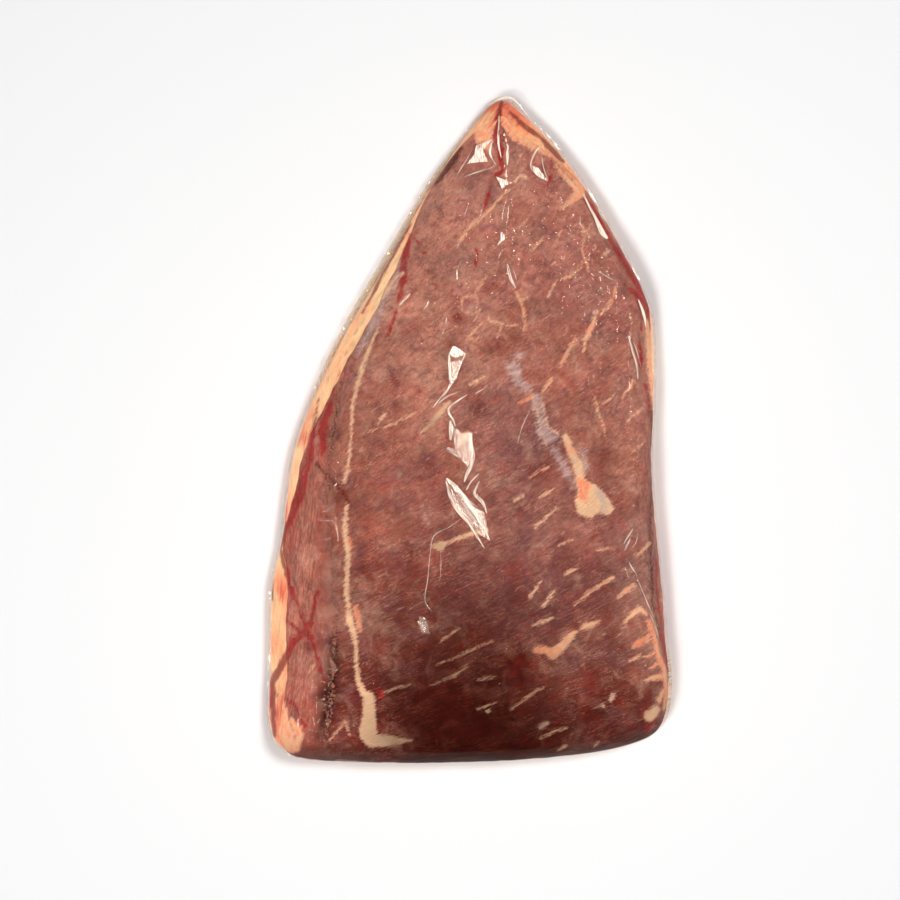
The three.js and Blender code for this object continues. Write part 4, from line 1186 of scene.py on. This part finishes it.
# Raw beef muscle, cut with a knife: wet, dull red brown with a fibrous grain, pale flecks of
# marbling and cream seams of fat. The grain lets the eye read how the muscle runs.
def rawLeanBeef():
    s = Shader("rawLeanBeef")
    c = {name: hexToLinear(code) for name, code in beefColours.items()}
    bundles = s.grainNoise(6.5, 2.8, 5, 3, 1.6)
    fibres = s.grainNoise(3.4, 0.8, 2.5, 3, 1.4)
    flecks = s.grainNoise(4.6, 1.5, 4, 2, 0.6)
    mottle = s.evenNoise(4.2, 2.5, 0.7)
    crumbs = s.evenNoise(0.8, 2)

    # base tone: darker towards the thick end
    xyz = s.addNode("SeparateXYZ", {0: s.place})
    lengthways = s.plus(xyz.outputs[1], s.ramped(s.evenNoise(26, 2), 0.3, 0.7, -0.02, 0.02))
    share = s.ranged(lengthways, -0.14, 0.13)
    colour = s.addNode("ValToRGB", {0: share}, stops=beefAlongPack).outputs[0]
    # the pale patches are partly paler meat and partly painted light on the steep right side
    for name in ("flank", "paleAndLit", "mauve"):
        colour = s.mixed(s.attribute(name), colour, c[name])

    # the flank is cut along the fibres, so it shows them as long streaks
    streaks = s.grainNoise(15, 1.5, 6, 3, 1.4)
    streaked = s.mixed(s.ramped(streaks, 0.36, 0.64), c["streakDark"], c["streakPale"])
    colour = s.mixed(s.times(s.attribute("flank"), 0.42), colour, streaked)

    # patches where the meat is redder, browner or more purple
    for size, distortion, shift, low, high, most, name in ((9, 1.0, 0.0, 0.48, 0.72, 0.36, "redMeat"),
                                                           (11, 0.8, 0.3, 0.45, 0.75, 0.6, "tan"),
                                                           (8, 0.8, 0.7, 0.45, 0.7, 0.6, "purple")):
        patch = s.ramped(s.evenNoise(size, 4, distortion, shift), low, high, 0, most)
        colour = s.mixed(patch, colour, c[name])

    # crooked pale and dark red lines between the bundles: their length, width, thickness and
    # distortion, then the patches in which they show
    for length, width, thin, distortion, size, shift, low, high, most, name in (
            (9, 4.5, 0.03, 2.2, 15, 0.5, 0.4, 0.62, 0.7, "redMeat"),
            (9, 3.6, 0.022, 2.6, 10, 0.9, 0.4, 0.6, 0.5, "fleck"),
            (6, 2.8, 0.02, 2.6, 12, 1.3, 0.42, 0.6, 0.6, "crack")):
        lines = s.ramped(s.offMiddle(s.grainNoise(length, width, 5, 3, distortion)), thin, 0.0)
        patch = s.ramped(s.evenNoise(size, 2, 0.0, shift), low, high)
        colour = s.mixed(s.times(s.times(lines, patch), most), colour, c[name])

    # a drawn patch: its depth in millimetres is roughened by noise and turned into cover
    def cover(name, noise, rough, soft, most=1.0, start=0.0):
        shaken = s.plus(s.attribute(name), s.ramped(noise, 0.25, 0.75, -rough, rough))
        shaken = s.plus(shaken, s.ramped(crumbs, 0.25, 0.75, -0.4 * rough, 0.4 * rough))
        return s.ramped(shaken, start - soft, start + soft, 0.0, most)

    silver = s.times(cover("silver", bundles, 0.9, 1.6, 0.7), s.ramped(fibres, 0.3, 0.6, 0.6, 1.0))
    colour = s.mixed(silver, colour, c["silver"])
    # painted shade: the dark patches darken the meat at the thick end, in the furrow and on the bottom wall
    colour = s.mixed(s.attribute("dark"), colour, s.mixed(1.0, colour, c["darker"], "MULTIPLY"))
    # painted shade and clotted purge: nearly black where the dark strokes lie
    colour = s.mixed(cover("clotAndShade", bundles, 1.1, 1.0, 0.8), colour, c["dark"])
    blush = s.times(s.attribute("blush"), s.ramped(mottle, 0.3, 0.65, 0.45, 1.1))
    colour = s.mixed(blush, colour, c["red"])
    wet = s.times(cover("juice", mottle, 0.9, 0.7, 0.92, -0.1), s.ramped(bundles, 0.3, 0.6, 0.65, 1.0))
    colour = s.mixed(wet, colour, c["crimson"])

    # the grain darkens and lightens them
    clouds = s.evenNoise(16, 2, 0.4, 2.1)
    for noise, dark, light in ((clouds, 0.86, 1.16), (bundles, 0.83, 1.19), (fibres, 0.88, 1.13),
                               (mottle, 0.89, 1.12), (crumbs, 0.9, 1.1)):
        colour = s.mixed(1.0, colour, s.ramped(noise, 0.27, 0.73, dark, light), "MULTIPLY")

    # pale flecks of marbling, thickest at the lower right
    fleckHeight = s.plus(flecks, s.times(s.attribute("flecky"), 0.04))
    lightFleck = s.ranged(s.attribute("dark"), 0, 0.8, 0.85, 0.05)
    colour = s.mixed(s.times(s.ramped(fleckHeight, 0.67, 0.78, 0, 0.55), lightFleck), colour, c["fleck"])

    # seams and flecks of fat, cream or stained orange
    tone = s.plus(s.attribute("fatTone"), s.ramped(mottle, 0.3, 0.7, -0.22, 0.22))
    stops = ((0.05, "greyFat"), (0.3, "cream"), (0.5, "cream"), (0.8, "orange"), (1.0, "stainedFat"))
    fatColour = s.addNode("ValToRGB", {0: s.ranged(tone, -0.5, 1.0)},
                          stops=[(place, beefColours[name]) for place, name in stops]).outputs[0]
    inner = s.plus(s.attribute("fat"), s.ramped(mottle, 0.3, 0.7, -0.5, 0.5))
    fatColour = s.mixed(s.ramped(inner, 1.0, -0.3, 0, 0.7), fatColour, c["fatEdge"])
    for gain in (s.ramped(fibres, 0.27, 0.73, 0.84, 1.1),
                 # painted shade on the drawn fat
                 s.ranged(s.attribute("shade"), start=1.0, end=0.3),
                 # paler drawn fat, and painted light on the steep right wall
                 s.ranged(s.attribute("paleFatAndLit"), start=1.0, end=1.5)):
        fatColour = s.mixed(1.0, fatColour, gain, "MULTIPLY")
    colour = s.mixed(cover("fat", fibres, 0.7, 0.5, 0.92, -0.1), colour, fatColour)

    # froth in the furrow: tiny bubbles of air with dark purge between them
    cells = s.addNode("TexVoronoi", {"Vector": s.place, "Scale": 1 / (0.7 * mm)})
    frothColour = s.mixed(s.ramped(cells.outputs["Distance"], 0.3, 0.55), c["froth"], c["frothDark"])
    colour = s.mixed(cover("froth", crumbs, 1.0, 1.7, 0.85, 0.7), colour, frothColour)

    return s.finish(s.addNode("BsdfPrincipled", {
        "Base Color": colour, "Roughness": 0.55, "IOR": 1.38, "Specular IOR Level": 0.03,
        "Subsurface Weight": 0.12, "Subsurface Radius": (0.003, 0.0012, 0.0008), "Subsurface Scale": 0.6,
        "Normal": s.bump(s.plus(bundles, mottle), 0.35, 0.6)}))


fatColours = {
    "yellow": "#fdcd98", "peach": "#fba878", "stain": "#dc5a38", "red": "#c23a26", "deepRed": "#751414",
    "olive": "#5a3312",
}


# Raw beef fat: firm, waxy and slightly see-through, so light goes a little way in. Butter yellow
# to peach, rubbed red with juice along the folds.
def rawBeefFat():
    s = Shader("rawBeefFat")
    c = {name: hexToLinear(code) for name, code in fatColours.items()}
    broad = s.evenNoise(16, 3, roughness=0.55)
    lobes = s.evenNoise(4, 3, 0.6, roughness=0.6)
    fine = s.evenNoise(1.2, 2, roughness=0.55)
    streaks = s.grainNoise(12, 1.6, 5, 3, 0.5, 0.5)
    tone = s.ranged(broad, 0.35, 0.65)
    colour = s.mixed(tone, c["yellow"], c["peach"])
    for noise, dark, light in ((lobes, 0.83, 1.09), (streaks, 0.76, 1.13)):
        colour = s.mixed(1.0, colour, s.ranged(noise, 0.3, 0.7, dark, light), "MULTIPLY")

    stained = s.attribute("stain")
    colour = s.mixed(s.times(stained, tone), colour, c["stain"])
    wet = s.plus(streaks, s.ranged(stained, end=0.35))
    colour = s.mixed(s.ranged(wet, 0.56, 0.85, 0.0, 0.85), colour, c["red"])

    # threads of juice in the fat's own clefts
    thread = s.ranged(s.offMiddle(streaks), 0.014, 0.0)
    colour = s.mixed(s.times(thread, s.ranged(lobes, 0.5, 0.68, 0.0, 0.7)), colour, c["red"])
    # juice stains the fat deep red, and the dark strokes darken it olive as painted shade and clotted purge
    for name, stain, rough, soft in (("juice", "deepRed", 0.7, 0.6), ("clotAndShade", "olive", 0.8, 0.8)):
        shaken = s.plus(s.attribute(name), s.ranged(lobes, 0.25, 0.75, -rough, rough))
        colour = s.mixed(s.ramped(shaken, -soft, soft, 0.0, 0.85), colour, c[stain])

    return s.finish(s.addNode("BsdfPrincipled", {
        "Base Color": colour, "Roughness": 0.5, "IOR": 1.45, "Specular IOR Level": 0.15,
        "Subsurface Weight": 0.25, "Subsurface Radius": (0.004, 0.002, 0.001), "Subsurface Scale": 0.7,
        "Normal": s.bump(s.plus(lobes, fine), 0.4, 0.5)}))


filmLook = {"faceOn": 0.06, "steep": 0.012, "roughness": 0.095, "tint": "#fbe6d2", "wrinkleDepth": 0.2,
            "creases": (1.7 * mm, 7 * mm, 4 * mm)}


# Co-extruded barrier film, shrunk in hot water: clear, glossy and finely wrinkled, so that the
# lamps break up into small glints. Where it stands free and is folded double it looks milky, and on
# the creases and facets the milky white is also painted highlight.
def shrunkFilm(name, milkAndHighlightColour):
    s = Shader(name)
    creases = s.stretchedNoise(s.place, filmLook["creases"], 3, 0.8)
    pressed = s.grainNoise(4, 1.1, 3, 2, roughness=0.5)  # the meat's grain, pressed into the film
    normal = s.bump(s.plus(creases, pressed), filmLook["wrinkleDepth"], 1.0)

    # how much a thin sheet reflects, the same from both of its sides; least where it stands steep,
    # so that the meat's sides stay dark
    facing = s.addNode("LayerWeight", {"Blend": 0.5, "Normal": normal}).outputs["Facing"]
    shine = s.ranged(facing, 0.12, 0.5, filmLook["faceOn"], filmLook["steep"])
    shine = s.times(shine, s.math("SUBTRACT", 1.0, s.attribute("calm")))
    gloss = s.addNode("BsdfGlossy", {"Color": hexToLinear(filmLook["tint"]),
                                     "Roughness": filmLook["roughness"], "Normal": normal})
    clear = s.addNode("BsdfTransparent", {"Color": (1, 1, 1, 1)})
    # milky white: real where the free edge is folded double, painted highlight on the creases and facets
    milkAndHighlight = s.addNode("BsdfDiffuse", {"Color": hexToLinear(milkAndHighlightColour)})
    streaks = s.ranged(pressed, 0.35, 0.65, 0.3, 1.25)
    cloudy = s.math("MULTIPLY", s.attribute("hazeAndHighlight"), streaks, use_clamp=True)
    body = s.addNode("MixShader", {0: cloudy, 1: clear.outputs[0], 2: milkAndHighlight.outputs[0]})
    return s.finish(s.addNode("MixShader", {0: shine, 1: body.outputs[0], 2: gloss.outputs[0]}))


# Purge, the thin juice that raw meat gives off, as the skin of a bubble: glossy and brown red.
def purgeSkin():
    s = Shader("purgeBubbleSkin")
    return s.finish(s.addNode("BsdfPrincipled", {"Base Color": hexToLinear("#8f5547"), "Roughness": 0.15,
                                                 "IOR": 1.34}))


# the paper, lamps and camera, which aren't part of the pack
stage = {
    "floorHalf": 3.0, "floorColour": "#f0f0f0", "world": 0.04,
    # azimuth and angle from straight up in degrees, distance and size in metres, power in watts.
    # Two lamps cast the short shadows on the paper, five shape the meat, and two are seen only
    # as glints in the film.
    "lamps": {
        "paperRight": (20, 14, 1.3, (0.18, 0.18), 9.8, "paper"),
        "paperLeft": (228, 17, 1.3, (0.18, 0.18), 10.0, "paper"),
        "shapeRight": (12, 25, 1.3, (0.18, 0.16), 9.6, "meat"),
        "shapeLeft": (222, 26, 1.3, (0.20, 0.18), 11.0, "meat"),
        "lowLeft": (185, 66, 1.4, (0.5, 0.3), 9.0, "meat"),
        "lowRight": (-6, 66, 1.4, (0.5, 0.3), 8.0, "meat"),
        "lowPoint": (85, 64, 1.4, (0.5, 0.3), 4.0, "meat"),
        "glintRight": (36, 40, 1.3, (0.30, 0.26), 7.5, "glint"),
        "glintLeft": (203, 41, 1.3, (0.30, 0.26), 7.0, "glint"),
    },
}


def makeStage():
    bm = bmesh.new()
    bmesh.ops.create_grid(bm, x_segments=1, y_segments=1, size=stage["floorHalf"])
    floor = toPiece("floor", bm)
    s = Shader("matPaperFloor")  # seamless background paper
    floor.data.materials.append(s.finish(s.addNode("BsdfPrincipled", {
        "Base Color": hexToLinear(stage["floorColour"]), "Roughness": 0.9, "Specular IOR Level": 0.1})))
    return floor


def makeCamera():
    data = bpy.data.cameras.new("camera")
    camera = bpy.data.objects.new("camera", data)
    bpy.context.scene.collection.objects.link(camera)
    x, y = np.array(photo["lookAt"]) + boxShift
    camera.location = (x * mm, y * mm, (rimHeight + photo["cameraHeight"]) * mm)
    data.sensor_width = 36
    data.lens = data.sensor_width * photo["cameraHeight"] / (photo["size"] * photo["pixel"])
    bpy.context.scene.camera = camera


def makeLight():
    target = Vector((0, 0, 0.02))
    for name, (azimuth, slant, distance, size, power, seenBy) in stage["lamps"].items():
        data = bpy.data.lights.new(name, "AREA")
        data.shape = "RECTANGLE"
        data.size, data.size_y = size
        data.energy = power
        lamp = bpy.data.objects.new(name, data)
        lamp.visible_glossy = seenBy == "glint"
        lamp.visible_diffuse = seenBy != "glint"
        if seenBy in lit:
            lamp.light_linking.receiver_collection = lit[seenBy]
        bpy.context.scene.collection.objects.link(lamp)
        a, s = radians(azimuth), radians(slant)
        direction = Vector((np.cos(a) * np.sin(s), np.sin(a) * np.sin(s), np.cos(s)))
        lamp.location = target + direction * distance
        lamp.rotation_euler = direction.to_track_quat("Z", "Y").to_euler()
    world = bpy.data.worlds.new("softRoom")
    bpy.context.scene.world = world
    world.use_nodes = True
    world.node_tree.nodes["Background"].inputs[0].default_value = (1, 1, 1, 1)
    world.node_tree.nodes["Background"].inputs[1].default_value = stage["world"]
    bpy.context.scene.view_settings.view_transform = "Standard"


# what each group of lamps lights
lit = {"paper": bpy.data.collections.new("litAsPaper"), "meat": bpy.data.collections.new("litAsMeat")}


def finishPiece(piece, material, slot, *nodes):
    lit["meat"].objects.link(piece)
    piece.data.materials.append(material)
    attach(piece, "root")
    if nodes:
        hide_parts(*nodes)


lit["paper"].objects.link(makeStage())
makeCamera()
makeLight()
print("stage, camera and lamps are in place")
finishPiece(makeLean(), rawLeanBeef(), "lean", "lean_muscle")
print("lean made")
finishPiece(makeFat(), rawBeefFat(), "fat", "fat_cap")
print("fat cap made")
film = shrunkFilm("shrunkBarrierFilm", "#cfac7e")
finishPiece(makeFilmTop(), film, "film", "film_fin")
finishPiece(makeFilmUnder(), film, "film")
# the creases and facets, whose milky white is partly painted highlight
finishPiece(makeFolds(), shrunkFilm("creasedFilmWithPaintedHighlights", "#fbe6d4"), "film")
finishPiece(makeBubbles(), purgeSkin(), "lean")
print("film made")
